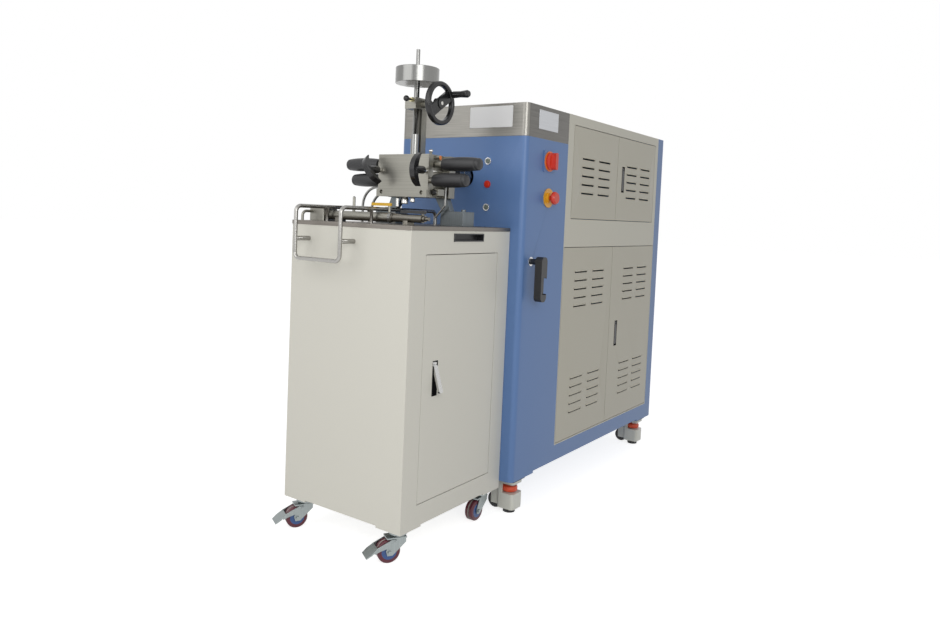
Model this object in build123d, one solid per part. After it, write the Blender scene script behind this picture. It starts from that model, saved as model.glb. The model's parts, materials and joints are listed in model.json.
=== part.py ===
from build123d import *
import math
import os

# Rheometer: a drive cabinet with an internal mixer on a trolley docked in front of it.
# Millimetres. Floor at z = 0, cabinet front panel at y = 0, +X is the side with the doors.

os.makedirs("parts", exist_ok=True)

# Drive line: everything above the floor hangs from the height of its axis
AXIS_HEIGHT = 1036.0
CAB_ABOVE_AXIS = 222.0
TABLE_BELOW_AXIS = 153.0
BED_BELOW_AXIS = 164.0
MIXER_BELOW_AXIS = 75.0
MIXER_ABOVE_AXIS = 46.0
BED_PLATE = 8.0
BED_LEG = 40.0
BED_FRONT = 30.0
BED_FROM_REAR = 132.0
BED_RAIL_RISE = 60.0
SHAFT_RADIUS = 14.0
COUPLING_RADIUS = 29.0
COUPLING_TANG = 20.0
SENSOR_FRONT = 60.0
SENSOR_LENGTH = 80.0
SENSOR_RADIUS = 62.0
REDUCER_LENGTH = 210.0
REDUCER_WIDTH = 190.0
REDUCER_FOOT = 20.0
MOTOR_RADIUS = 84.0
MOTOR_LENGTH = 290.0
MOTOR_FIN = 10.0

# Cabinet
CAB_WIDTH = 482.0
CAB_DEPTH = 1092.0
CAB_BOTTOM = 118.0
CAB_CORNER = 18.0
CAB_SKIRT = 7.0
SKIRT_LENGTH = 130.0
SHEET = 2.0
BAND_HEIGHT = 99.0
CREAM_FRONT = 262.0
REAR_POST = 53.0
SILL_HEIGHT = 52.0
SILL_FLANGE = 25.0
JAMB_DEPTH = 20.0

# Cabinet doors
DOOR_GAP = 2.0
DOOR_DEPTH = 18.0
UPPER_DOOR_FROM_FRONT = 39.0
UPPER_DOOR_FROM_REAR = 29.0
UPPER_DOOR_FROM_TOP = 31.0
UPPER_DOOR_HEIGHT = 309.0
UPPER_SPLIT_SHIFT = 1.5
DOOR_RAIL = 93.0
LOWER_DOOR_EDGE = 3.0
LOWER_DOOR_FROM_BOTTOM = 4.0
LOWER_SPLIT_SHIFT = 4.5
HINGE_INSET = 4.0
HINGE_PIN = 2.5
HINGE_CLEARANCE = 0.1
LUG_THICKNESS = 3.0
LUG_HALF = 9.0
LOUVRE_LENGTH = 92.0
LOUVRE_SLOT = 5.0
LOUVRE_PROUD = 4.0
LOUVRE_HEIGHT = 9.0
LOUVRE_PITCH = 29.0
LOUVRE_ROWS = 5
LOUVRE_SHARES = {
    "upper_front_door": (0.326, 0.686),
    "upper_rear_door": (0.368, 0.730),
    "lower_front_door": (0.349, 0.703),
    "lower_rear_door": (0.392, 0.726),
}
UPPER_ROW_DROP = 103.0
LOWER_ROW_DROP = 83.0
LOWER_ROW_RISE = 206.0

# Swing-lever locks
LOCK_WIDTH = 26.0
LOCK_HEIGHT = 98.0
LOCK_DEPTH = 14.0
LOCK_WALL = 1.5
LOCK_LEVER_WIDTH = 16.0
LOCK_LEVER_THICK = 6.0
LOCK_PIN = 2.0
LOCK_HUB = 6.0
LOCK_PIVOT_DROP = 8.0
LOCK_POP = 18.0
UPPER_LOCK_EDGE = 52.0
UPPER_LOCK_RISE = 154.0
LOWER_LOCK_EDGE = 62.0
LOWER_LOCK_RISE = 324.0
TROLLEY_LOCK_EDGE = 57.0
TROLLEY_LOCK_RISE = 328.0

# Front and side controls
BUTTON_X = 108.0
BUTTON_ABOVE_AXIS = 48.0
BUTTON_PITCH = 70.5
BUTTON_COUNT = 3
BEZEL_RADIUS = 11.0
BARREL_RADIUS = 9.0
CAP_RADIUS = 7.6
SWITCH_Y = 137.0
SWITCH_DROP = 165.0
SWITCH_PLATE = 66.0
SWITCH_RADIUS = 27.0
SWITCH_BAR_HALF = 8.0
SWITCH_SPINDLE = 4.0
STOP_Y = 144.0
STOP_DROP = 278.0
STOP_RING = 30.0
STOP_BODY = 11.0
STOP_HEAD = 20.0
STOP_SPINDLE = 8.0
LEVER_Y = 52.0
LEVER_DROP = 474.0
LEVER_REACH = 120.0
LEVER_HALF = 17.0
LEVER_THICK = 24.0
LEVER_SPINDLE = 6.0
LEVER_SOCKET = 8.0
PANEL_CLEARANCE = 4.0
FACE_PLATE = 3.0
PLATE_THICK = 1.5
NAME_PLATE = (111.0, 59.0, 156.0, 64.0)
DATA_PLATE = (126.0, 57.0, 120.0, 58.0)

# Levelling casters under the cabinet
LEVELLER_INSET_X = 42.0
LEVELLER_INSET_Y = 62.0
LEVELLER_WHEEL = 25.0
LEVELLER_TREAD = 22.0
LEVELLER_TRAIL = 48.0
LEVELLER_HALF = 29.0
LEVELLER_FOOT_RISE = 14.0
LEVELLER_PLATE = 8.0
LEVELLER_AXLE = 4.0
WHEEL_LIFT = 2.0
PAD_RADIUS = 19.0
THUMB_RADIUS = 24.0
THUMB_BOTTOM = 66.0
FOOT_SCREW = 6.0

# Trolley
TROLLEY_RIGHT = 197.0
TROLLEY_WIDTH = 434.0
TROLLEY_LENGTH = 466.0
DOCK_GAP = 1.0
TROLLEY_BOTTOM = 89.0
CASTER_PLATE = 5.0
TABLE_THICK = 11.0
TABLE_LIP = 2.0
TROLLEY_DOOR_INSET = 63.0
TROLLEY_DOOR_BORDER = 62.0
PULL_FRONT = -285.0
PULL_REAR = -142.0
PULL_DROP = 29.0
PULL_HEIGHT = 22.0
PULL_DEPTH = 22.0

# Swivel casters under the trolley
CASTER_INSET = 42.0
CASTER_WHEEL = 31.0
CASTER_TREAD = 26.0
CASTER_TRAIL = 26.0
CASTER_AXLE = 5.0
FORK_SHEET = 3.0
PEDAL_PIVOT = (14.0, 58.0)
PEDAL_PIN = 3.0
HEADINGS = {"front_left": -118.0, "front_right": -122.0, "rear_left": -96.0, "rear_right": -90.0}

# Guard rails that are also the push handle
RAIL_LEFT = -169.0
RAIL_RIGHT = 0.0
RAIL_RADIUS = 5.5
RAIL_BEND = 16.0
RAIL_RISE = 40.0
HANDLE_OUT = 51.0
HANDLE_DROP = 102.0
STANDOFF_DROP = 49.0
POST_FROM_FRONT = 66.0
RAIL_LEFT_END = -222.0
RAIL_RIGHT_END = -115.0

# Cylinder across the table
CYLINDER_FROM_FRONT = 91.0
CYLINDER_RISE = 18.0
CYLINDER_RADIUS = 13.0
CYLINDER_START = -181.0
CYLINDER_STEP = 60.0
CYLINDER_END = 160.0
END_BLOCK = (57.0, 56.0, 40.0)
PIN_X = -90.0
PIN_LENGTH = 43.0
LEVER_STEM_X = 42.0
YELLOW_RISE = 49.0
YELLOW_LENGTH = 64.0
FEED_OUT = 34.0
FEED_RADIUS = 4.0
GUARD_BAR = (85.0, 166.0, 31.0, 8.0)

# Mixer
PLATE_HALF = 92.5
PLATE_FRONT = -275.0
PLATE_DEPTH = 20.0
LEDGE_HEIGHT = 21.0
LEDGE_PROUD = 6.0
CHAMBER_INSET = 4.5
CHAMBER_DEPTH = 50.0
BOSS_WIDTH = 22.0
BOSS_HEIGHT = 18.0
LIFT_KNOB_INSET = 12.0
NIPPLE_FROM_FRONT = 29.0
NIPPLES = ((-40.0, 5.0, 30.0), (-12.0, 10.0, 20.0), (16.0, 7.0, 15.0))
JOINT_GAP = 0.5
REAR_OUTSET = 20.5
REAR_DEPTH = 28.0
ROTOR_OFFSET = 21.0
CAVITY_RADIUS = 22.0
ROTOR_RADIUS = 20.5
ROTOR_JOURNAL = 9.0
RUNNING_CLEARANCE = 0.05
GEAR_CASE_HALF = 58.0
GEAR_CASE_DEPTH = 68.0
GEAR_CASE_WALL = 8.0
COUPLING_HALF = 22.0
COUPLING_MEET = 42.0
STUD_INSET = 8.5
STUD_RADIUS = 5.0
STUD_CLEARANCE = 0.3
WING_LENGTH = 92.0
WING_TILT = -35.0
GUIDE_INSET = 18.5
GUIDE_DROP = 62.0
GUIDE_RADIUS = 6.0
GRIP_RADIUS = 20.0
SPINDLE_RADIUS = 6.0
UPPER_COLLAR = 30.0
UPPER_GRIP_LENGTH = 126.0
UPPER_GRIP_BACK = 35.0
UPPER_GRIP_RISE = 19.0
LOWER_COLLAR = 13.5
LOWER_GRIP_LENGTH = 114.0
LOWER_GRIP_BACK = 10.0
LOWER_GRIP_DROP = 27.0
COLLAR_RADIUS = 11.0
LOWER_COLLAR_RADIUS = 9.0

# Mixer stand
RISER_INNER = 84.0
RISER_OUTER = 164.0
RISER_DEPTH = 55.0
RISER_HEIGHT = 42.0
LEG_TOP_INNER = 63.0
LEG_TOP_OUTER = 104.0
LEG_SPREAD = 15.0
LEG_DEPTH = 20.0

# Ram over the feed throat
RAM_BACK = 49.0
RAM_RADIUS = 8.0
THROAT_CLEARANCE = 0.1
PLUNGER_RADIUS = 12.0
PLUNGER_DEPTH = 3.0
PLUNGER_RISE = 61.0
RACK_RISE = 5.0
TOP_ROD_RADIUS = 5.5
TOP_ROD_LENGTH = 99.0
WEIGHT_RISE = 40.0
WEIGHT_RADIUS = 63.0
WEIGHT_THICK = 45.0
COLUMN_HALF = 12.0
COLUMN_BACK = 13.0
COLUMN_DEPTH = 22.0
HEAD_RISE = 133.0
HEAD_HEIGHT = 32.0
HEAD_OUT = 20.0
HEAD_LEFT = -26.0
HEAD_RIGHT = 14.0
HEAD_BOSS = 26.0
GEAR_MODULE = 1.25
PINION_TEETH = 16
PINION_WIDTH = 12.0
PINION_SHAFT = 5.0
RACK_FLAT = 1.0
RACK_TEETH = 31
BACKLASH = 0.25
HANDWHEEL_X = 74.0
HANDWHEEL_RADIUS = 62.0
RIM_WIDTH = 14.0
RIM_DEPTH = 17.0
WEB_HALF = 16.0
WEB_THICK = 9.0
CRANK_RADIUS = 54.0
CRANK_ANGLE = 34.0
CRANK_LENGTH = 60.0
CRANK_PIN = 4.0
KNOB_DROP = 7.0
KNOB_STAND = 26.0
KNOB_RADIUS = 8.5
KNOB_SCREW = 3.0

# Hoses and cable
HOSE_RADIUS = 4.0
HOSE_BEND = 58.0
UPPER_HOSE = (-46.0, -110.0, -6.0)
LOWER_HOSE = (-61.0, -86.0, 8.0)
CABLE_RADIUS = 3.0
CABLE_TOP = (109.0, 40.0)
CABLE_FOOT = (76.0, 22.0)
CABLE_OUT = 10.0
CABLE_DROP = 56.0

# Places worked out from the sizes above
CAB_HALF = CAB_WIDTH / 2
CAB_TOP = AXIS_HEIGHT + CAB_ABOVE_AXIS
BAND_BOTTOM = CAB_TOP - BAND_HEIGHT
CREAM_REAR = CAB_DEPTH - REAR_POST
CREAM_BOTTOM = CAB_BOTTOM + SILL_HEIGHT
UPPER_DOOR_FRONT = CREAM_FRONT + UPPER_DOOR_FROM_FRONT
UPPER_DOOR_REAR = CREAM_REAR - UPPER_DOOR_FROM_REAR
UPPER_DOOR_SPLIT = (UPPER_DOOR_FRONT + UPPER_DOOR_REAR) / 2 - UPPER_SPLIT_SHIFT
UPPER_DOOR_TOP = CAB_TOP - UPPER_DOOR_FROM_TOP
UPPER_DOOR_BOTTOM = UPPER_DOOR_TOP - UPPER_DOOR_HEIGHT
LOWER_DOOR_FRONT = CREAM_FRONT + LOWER_DOOR_EDGE
LOWER_DOOR_REAR = CREAM_REAR - LOWER_DOOR_EDGE
LOWER_DOOR_SPLIT = (LOWER_DOOR_FRONT + LOWER_DOOR_REAR) / 2 - LOWER_SPLIT_SHIFT
LOWER_DOOR_BOTTOM = CREAM_BOTTOM + LOWER_DOOR_FROM_BOTTOM
LOWER_DOOR_TOP = UPPER_DOOR_BOTTOM - DOOR_RAIL
UPPER_ROWS = (UPPER_DOOR_TOP - UPPER_ROW_DROP,)
LOWER_ROWS = (LOWER_DOOR_TOP - LOWER_ROW_DROP, LOWER_DOOR_BOTTOM + LOWER_ROW_RISE)
UPPER_LOCK = (UPPER_DOOR_SPLIT + UPPER_LOCK_EDGE, UPPER_DOOR_BOTTOM + UPPER_LOCK_RISE)
LOWER_LOCK = (LOWER_DOOR_SPLIT + LOWER_LOCK_EDGE, LOWER_DOOR_BOTTOM + LOWER_LOCK_RISE)
BUTTON_TOP = AXIS_HEIGHT + BUTTON_ABOVE_AXIS
SWITCH_Z = CAB_TOP - SWITCH_DROP
STOP_Z = CAB_TOP - STOP_DROP
LEVER_Z = CAB_TOP - LEVER_DROP
BED_TOP = AXIS_HEIGHT - BED_BELOW_AXIS
LEVELLER_TOP = CAB_BOTTOM - CAB_SKIRT
TROLLEY_LEFT = TROLLEY_RIGHT - TROLLEY_WIDTH
TROLLEY_FRONT = -TROLLEY_LENGTH
TABLE_TOP = AXIS_HEIGHT - TABLE_BELOW_AXIS
BODY_TOP = TABLE_TOP - TABLE_THICK
TROLLEY_DOOR_FRONT = TROLLEY_FRONT + TROLLEY_DOOR_INSET
TROLLEY_DOOR_REAR = -DOCK_GAP - TROLLEY_DOOR_INSET
TROLLEY_DOOR_BOTTOM = TROLLEY_BOTTOM + TROLLEY_DOOR_BORDER
TROLLEY_DOOR_TOP = BODY_TOP - TROLLEY_DOOR_BORDER
TROLLEY_LOCK = (TROLLEY_DOOR_FRONT + TROLLEY_LOCK_EDGE, TROLLEY_DOOR_BOTTOM + TROLLEY_LOCK_RISE)
PULL_BOTTOM = BODY_TOP - PULL_DROP
RAIL_HEIGHT = TABLE_TOP + RAIL_RISE
HANDLE_BOTTOM = TABLE_TOP - HANDLE_DROP
STANDOFF_HEIGHT = TABLE_TOP - STANDOFF_DROP
POST_Y = TROLLEY_FRONT + POST_FROM_FRONT
CYLINDER_Y = TROLLEY_FRONT + CYLINDER_FROM_FRONT
CYLINDER_Z = TABLE_TOP + CYLINDER_RISE
YELLOW_BOTTOM = TABLE_TOP + YELLOW_RISE
MIXER_BOTTOM = AXIS_HEIGHT - MIXER_BELOW_AXIS
MIXER_TOP = AXIS_HEIGHT + MIXER_ABOVE_AXIS
CHAMBER_HALF = PLATE_HALF - CHAMBER_INSET
CHAMBER_FRONT = PLATE_FRONT + PLATE_DEPTH + JOINT_GAP
REAR_HALF = PLATE_HALF + REAR_OUTSET
REAR_FRONT = CHAMBER_FRONT + CHAMBER_DEPTH + JOINT_GAP
REAR_BACK = REAR_FRONT + REAR_DEPTH
CASE_BACK = REAR_BACK + GEAR_CASE_DEPTH
STUD_X = PLATE_HALF - STUD_INSET
GUIDE_X = PLATE_HALF - GUIDE_INSET
GUIDE_Z = AXIS_HEIGHT - GUIDE_DROP
NIPPLE_Y = PLATE_FRONT + NIPPLE_FROM_FRONT
LIFT_KNOB_X = CHAMBER_HALF - LIFT_KNOB_INSET
UPPER_GRIP_START = CHAMBER_HALF + UPPER_COLLAR
UPPER_GRIP_END = UPPER_GRIP_START + UPPER_GRIP_LENGTH
UPPER_GRIP_Y = PLATE_FRONT + UPPER_GRIP_BACK
UPPER_GRIP_Z = AXIS_HEIGHT + UPPER_GRIP_RISE
LOWER_GRIP_START = PLATE_HALF + LOWER_COLLAR
LOWER_GRIP_END = LOWER_GRIP_START + LOWER_GRIP_LENGTH
LOWER_GRIP_Y = PLATE_FRONT + LOWER_GRIP_BACK
LOWER_GRIP_Z = AXIS_HEIGHT - LOWER_GRIP_DROP
DRIVE_AXIS = (ROTOR_OFFSET, AXIS_HEIGHT)
RAM_Y = PLATE_FRONT + RAM_BACK
PLUNGER_BOTTOM = MIXER_TOP - PLUNGER_DEPTH
PLUNGER_TOP = MIXER_TOP + PLUNGER_RISE
COLUMN_FRONT = RAM_Y + COLUMN_BACK
HEAD_FRONT = RAM_Y - HEAD_OUT
HEAD_BOTTOM = MIXER_TOP + HEAD_RISE
HEAD_TOP = HEAD_BOTTOM + HEAD_HEIGHT
KNOB_Z = HEAD_TOP - KNOB_DROP
WEIGHT_SEAT = HEAD_TOP + WEIGHT_RISE
RAM_TOP = WEIGHT_SEAT + TOP_ROD_LENGTH
PITCH_RADIUS = GEAR_MODULE * PINION_TEETH / 2
RACK_START = PLUNGER_TOP + RACK_RISE
RACK_FACE = RAM_Y + RAM_RADIUS - RACK_FLAT
RACK_PITCH_LINE = RACK_FACE - GEAR_MODULE
PINION_Y = RACK_PITCH_LINE + PITCH_RADIUS
PINION_Z = (HEAD_BOTTOM + HEAD_TOP) / 2


def block(x, y, z):
    """Box between the two values of each pair."""
    pairs = (x, y, z)
    size = [abs(b - a) for a, b in pairs]
    middle = [(a + b) / 2 for a, b in pairs]
    return Pos(*middle) * Box(*size)


def bar(axis, centre, radius, start, end):
    """Round bar along an axis; centre holds the other two coordinates in order."""
    middle = (start + end) / 2
    solid = Cylinder(radius, abs(end - start))
    if axis == "X":
        return Pos(middle, centre[0], centre[1]) * Rot(0, 90, 0) * solid
    if axis == "Y":
        return Pos(centre[0], middle, centre[1]) * Rot(90, 0, 0) * solid
    return Pos(centre[0], centre[1], middle) * solid


def soft_block(x, y, z, axis, radius):
    """Box whose edges along one axis are rounded."""
    solid = block(x, y, z)
    return fillet(solid.edges().filter_by(axis), radius)


def turned(axis, centre, start, profile):
    """Solid turned about an axis from (radius, distance) steps along it."""
    points = [(0, profile[0][1])] + list(profile) + [(0, profile[-1][1])]
    face = make_face(Plane.XZ * Polyline(*points, close=True))
    solid = revolve(face, Axis.Z)
    if axis == "X":
        return Pos(start, centre[0], centre[1]) * Rot(0, 90, 0) * solid
    if axis == "-X":
        return Pos(start, centre[0], centre[1]) * Rot(0, -90, 0) * solid
    if axis == "Y":
        return Pos(centre[0], start, centre[1]) * Rot(-90, 0, 0) * solid
    if axis == "-Y":
        return Pos(centre[0], start, centre[1]) * Rot(90, 0, 0) * solid
    return Pos(centre[0], centre[1], start) * solid


def tube(points, radius, bend):
    """Round bar along a route whose corners are bent to one radius."""
    path = FilletPolyline(*points, radius=bend)
    plane = Plane(origin=path @ 0, z_dir=path % 0)
    return sweep(plane * Circle(radius), path=path)


def prism(plane, points, depth):
    """Outline drawn on a plane and pushed along its normal."""
    return extrude(make_face(plane * Polyline(*points, close=True)), depth, dir=plane.z_dir)


def front_rounded(half, depth, bottom, top, radius, start):
    """Box from a start to a depth whose two upright front edges are rounded."""
    solid = block((-half, half), (start, depth), (bottom, top))
    return fillet(solid.edges().filter_by(Axis.Z).group_by(Axis.Y)[0], radius)


def cabinet_shell():
    outer = front_rounded(CAB_HALF, CREAM_FRONT, CAB_BOTTOM, BAND_BOTTOM, CAB_CORNER, 0)
    outer += block((-CAB_HALF, CAB_HALF), (CREAM_FRONT, CREAM_REAR), (CAB_BOTTOM, CREAM_BOTTOM))
    outer += block((-CAB_HALF, CAB_HALF), (CREAM_REAR, CAB_DEPTH), (CAB_BOTTOM, CAB_TOP))
    skirt = front_rounded(CAB_HALF, CAB_DEPTH, CAB_BOTTOM - CAB_SKIRT, CAB_BOTTOM, CAB_CORNER, 0)
    skirt -= block((-CAB_HALF + SKIRT_LENGTH, CAB_HALF - SKIRT_LENGTH), (-1, CAB_DEPTH + 1),
                   (0, CAB_BOTTOM))
    skirt -= block((-CAB_HALF - 1, CAB_HALF + 1), (SKIRT_LENGTH, CAB_DEPTH - SKIRT_LENGTH),
                   (0, CAB_BOTTOM))
    outer += skirt
    inside = CAB_HALF - SHEET
    floor = CAB_BOTTOM + SHEET
    inner = front_rounded(inside, CREAM_FRONT, floor, CAB_TOP, CAB_CORNER - SHEET, SHEET)
    inner += block((-inside, inside), (CREAM_FRONT, CREAM_REAR), (floor, CAB_TOP))
    inner += block((-inside, inside), (CREAM_REAR, CAB_DEPTH - SHEET), (floor, CAB_TOP - SHEET))
    shell = outer - inner
    for row in range(BUTTON_COUNT):
        place = (BUTTON_X, BUTTON_TOP - row * BUTTON_PITCH)
        shell -= bar("Y", place, BARREL_RADIUS, -SHEET, 2 * SHEET)
    shell -= bar("Y", DRIVE_AXIS, COUPLING_RADIUS + PANEL_CLEARANCE, -SHEET, 2 * SHEET)
    side = (CAB_HALF - 2 * SHEET, CAB_HALF + SHEET)
    shell -= bar("X", (SWITCH_Y, SWITCH_Z), SWITCH_SPINDLE + PANEL_CLEARANCE, *side)
    shell -= bar("X", (STOP_Y, STOP_Z), STOP_BODY, *side)
    shell -= bar("X", (LEVER_Y, LEVER_Z), LEVER_SOCKET, *side)
    return shell


def top_band():
    outer = front_rounded(CAB_HALF, CREAM_FRONT, BAND_BOTTOM, CAB_TOP, CAB_CORNER, 0)
    inner = front_rounded(CAB_HALF - SHEET, CREAM_FRONT, BAND_BOTTOM, CAB_TOP - SHEET,
                          CAB_CORNER - SHEET, SHEET)
    return outer - inner


def door_places():
    """Name, hinge y, free y, bottom and top of the four door openings."""
    return {
        "upper_front_door": (UPPER_DOOR_FRONT, UPPER_DOOR_SPLIT, UPPER_DOOR_BOTTOM, UPPER_DOOR_TOP),
        "upper_rear_door": (UPPER_DOOR_REAR, UPPER_DOOR_SPLIT, UPPER_DOOR_BOTTOM, UPPER_DOOR_TOP),
        "lower_front_door": (LOWER_DOOR_FRONT, LOWER_DOOR_SPLIT, LOWER_DOOR_BOTTOM, LOWER_DOOR_TOP),
        "lower_rear_door": (LOWER_DOOR_REAR, LOWER_DOOR_SPLIT, LOWER_DOOR_BOTTOM, LOWER_DOOR_TOP),
    }


def hinge_place(face, hinge_y, free_y):
    """X and Y of a door's pin axis."""
    inward = math.copysign(DOOR_GAP + HINGE_INSET, free_y - hinge_y)
    return face - HINGE_INSET, hinge_y + inward


def hinge_lugs(face, hinge_y, free_y, bottom, top, sheet):
    """Two lugs behind the frame that hold the pins above and below a door."""
    x, y = hinge_place(face, hinge_y, free_y)
    lugs = []
    for start in (bottom - LUG_THICKNESS, top):
        lugs.append(block((x - LUG_HALF, face - sheet), (y - LUG_HALF, y + LUG_HALF),
                          (start, start + LUG_THICKNESS)))
    return lugs


def pin_hole(face, hinge_y, free_y, bottom, top):
    """Bore through both lugs of a door."""
    place = hinge_place(face, hinge_y, free_y)
    return bar("Z", place, HINGE_PIN + HINGE_CLEARANCE, bottom - LUG_THICKNESS - 1,
               top + LUG_THICKNESS + 1)


def cream_frame():
    outer = block((-CAB_HALF, CAB_HALF), (CREAM_FRONT, CREAM_REAR), (CREAM_BOTTOM, CAB_TOP))
    inside = CAB_HALF - SHEET
    span = (CREAM_FRONT - 1, CREAM_REAR + 1)
    frame = outer - block((-inside, inside), span, (CREAM_BOTTOM + SHEET, CAB_TOP - SHEET))
    frame -= block((-inside + SILL_FLANGE, inside - SILL_FLANGE),
                   (CREAM_FRONT + SILL_FLANGE, CREAM_REAR - SILL_FLANGE),
                   (CREAM_BOTTOM - 1, CREAM_BOTTOM + 2 * SHEET))
    for hinge_y, free_y, bottom, top in door_places().values():
        frame -= block((inside - 1, CAB_HALF + 1), (hinge_y, free_y), (bottom, top))
    for y in (CREAM_FRONT, CREAM_REAR - SHEET):
        for x in (-inside, inside - JAMB_DEPTH):
            frame += block((x, x + JAMB_DEPTH), (y, y + SHEET), (CREAM_BOTTOM + SHEET, CAB_TOP - SHEET))
    for hinge_y, free_y, bottom, top in door_places().values():
        frame += hinge_lugs(CAB_HALF, hinge_y, free_y, bottom, top, SHEET)
        frame -= pin_hole(CAB_HALF, hinge_y, free_y, bottom, top)
    return frame


def door_tray(face, hinge_y, free_y, bottom, top, sheet):
    """Folded sheet door with pins at its hinge edge."""
    near, far = sorted((hinge_y, free_y))
    gap_near = DOOR_GAP if hinge_y < free_y else DOOR_GAP / 2
    gap_far = DOOR_GAP / 2 if hinge_y < free_y else DOOR_GAP
    y = (near + gap_near, far - gap_far)
    z = (bottom + DOOR_GAP, top - DOOR_GAP)
    tray = block((face - DOOR_DEPTH, face), y, z)
    tray -= block((face - DOOR_DEPTH - 1, face - sheet), (y[0] + sheet, y[1] - sheet),
                  (z[0] + sheet, z[1] - sheet))
    pin_x, pin_y = hinge_place(face, hinge_y, free_y)
    for start, end in ((bottom - LUG_THICKNESS, z[0]), (z[1], top + LUG_THICKNESS)):
        tray += bar("Z", (pin_x, pin_y), HINGE_PIN, start, end)
    return tray


def louvre_cutter(face, y, z, sheet):
    return block((face - sheet - 1, face + 1), (y - LOUVRE_LENGTH / 2, y + LOUVRE_LENGTH / 2),
                 (z - LOUVRE_SLOT, z))


def louvre_hood(face, y, z):
    """Sloped lip that is proud of the door over each slot."""
    points = [(face, z + LOUVRE_HEIGHT - LOUVRE_SLOT), (face + LOUVRE_PROUD, z), (face, z)]
    plane = Plane(origin=(0, y - LOUVRE_LENGTH / 2, 0), x_dir=(1, 0, 0), z_dir=(0, -1, 0))
    return prism(plane, points, -LOUVRE_LENGTH)


def louvre_places(y, top_rows):
    """Middle of each louvre in one column, for each block's top row."""
    return [(y, top - row * LOUVRE_PITCH) for top in top_rows for row in range(LOUVRE_ROWS)]


def lock_cup(face, y, z):
    """Recess that a swing lever lies in."""
    half = LOCK_WIDTH / 2
    tall = LOCK_HEIGHT / 2
    return block((face - LOCK_DEPTH - LOCK_WALL, face), (y - half, y + half), (z - tall, z + tall))


def lock_pocket(face, y, z):
    half = LOCK_WIDTH / 2 - LOCK_WALL
    tall = LOCK_HEIGHT / 2 - LOCK_WALL
    pocket = block((face - LOCK_DEPTH, face + 1), (y - half, y + half), (z - tall, z + tall))
    pivot = (face - LOCK_DEPTH / 2, z + tall - LOCK_PIVOT_DROP)
    return pocket + bar("Y", pivot, LOCK_PIN + HINGE_CLEARANCE, y - half - 0.8, y + half + 0.8)


def lock_lever(face, y, z, popped=0.0):
    """Lever of a lock, on a cross pin near its top; popped turns it out of its cup."""
    tall = LOCK_HEIGHT / 2 - LOCK_WALL
    pivot_x = face - LOCK_DEPTH / 2
    pivot_z = z + tall - LOCK_PIVOT_DROP
    half = LOCK_LEVER_WIDTH / 2
    blade = soft_block((face - LOCK_LEVER_THICK, face), (y - half, y + half),
                       (z - tall + LOCK_HUB, pivot_z - LOCK_HUB), Axis.X, LOCK_HUB - 1)
    hub = bar("Y", (pivot_x, pivot_z), LOCK_HUB, y - half, y + half)
    neck = block((face - LOCK_LEVER_THICK, pivot_x + LOCK_HUB - 2), (y - half, y + half),
                 (pivot_z - LOCK_HUB - 4, pivot_z))
    half_pin = LOCK_WIDTH / 2 - LOCK_WALL + 0.6
    lever = blade + hub + neck + bar("Y", (pivot_x, pivot_z), LOCK_PIN, y - half_pin, y + half_pin)
    return Pos(pivot_x, 0, pivot_z) * Rot(0, -popped, 0) * Pos(-pivot_x, 0, -pivot_z) * lever


def cabinet_door(name, rows, lock):
    """Louvred door; each louvre column stands at a share of the door's width."""
    hinge_y, free_y, bottom, top = door_places()[name]
    door = door_tray(CAB_HALF, hinge_y, free_y, bottom, top, SHEET)
    near, far = sorted((hinge_y, free_y))
    columns = [near + share * (far - near) for share in LOUVRE_SHARES[name]]
    places = [spot for column in columns for spot in louvre_places(column, rows)]
    door -= [louvre_cutter(CAB_HALF, y, z, SHEET) for y, z in places]
    door += [louvre_hood(CAB_HALF, y, z) for y, z in places]
    if lock:
        door += lock_cup(CAB_HALF, *lock)
        door -= lock_pocket(CAB_HALF, *lock)
    return door


def drive_bed():
    """Table of square tube legs and a plate that the drive stands on, with the gear panel."""
    half = CAB_HALF - SHEET - JAMB_DEPTH - 10
    front = BED_FRONT
    rear = CAB_DEPTH - BED_FROM_REAR
    floor = CAB_BOTTOM + SHEET
    rail = floor + BED_RAIL_RISE
    bed = block((-half, half), (front, rear), (BED_TOP - BED_PLATE, BED_TOP))
    for x in (-half, half - BED_LEG):
        for y in (front, (front + rear - BED_LEG) / 2, rear - BED_LEG):
            bed += block((x, x + BED_LEG), (y, y + BED_LEG), (floor, BED_TOP - BED_PLATE))
        bed += block((x, x + BED_LEG), (front, rear), (rail, rail + BED_LEG))
    panel_x = -half + BED_LEG
    panel = block((panel_x, panel_x + 3), (front, rear), (rail, BED_TOP - BED_PLATE))
    gear = [block((panel_x + 3, panel_x + 3 + deep), (y, y + wide), (z, z + tall))
            for y, wide, z, tall, deep in ((330, 150, 420, 260, 150), (540, 90, 480, 130, 80),
                                           (660, 50, 500, 90, 70), (730, 50, 500, 90, 70),
                                           (540, 240, 660, 60, 60), (540, 240, 340, 50, 45))]
    return Compound([bed + panel] + gear)


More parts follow.
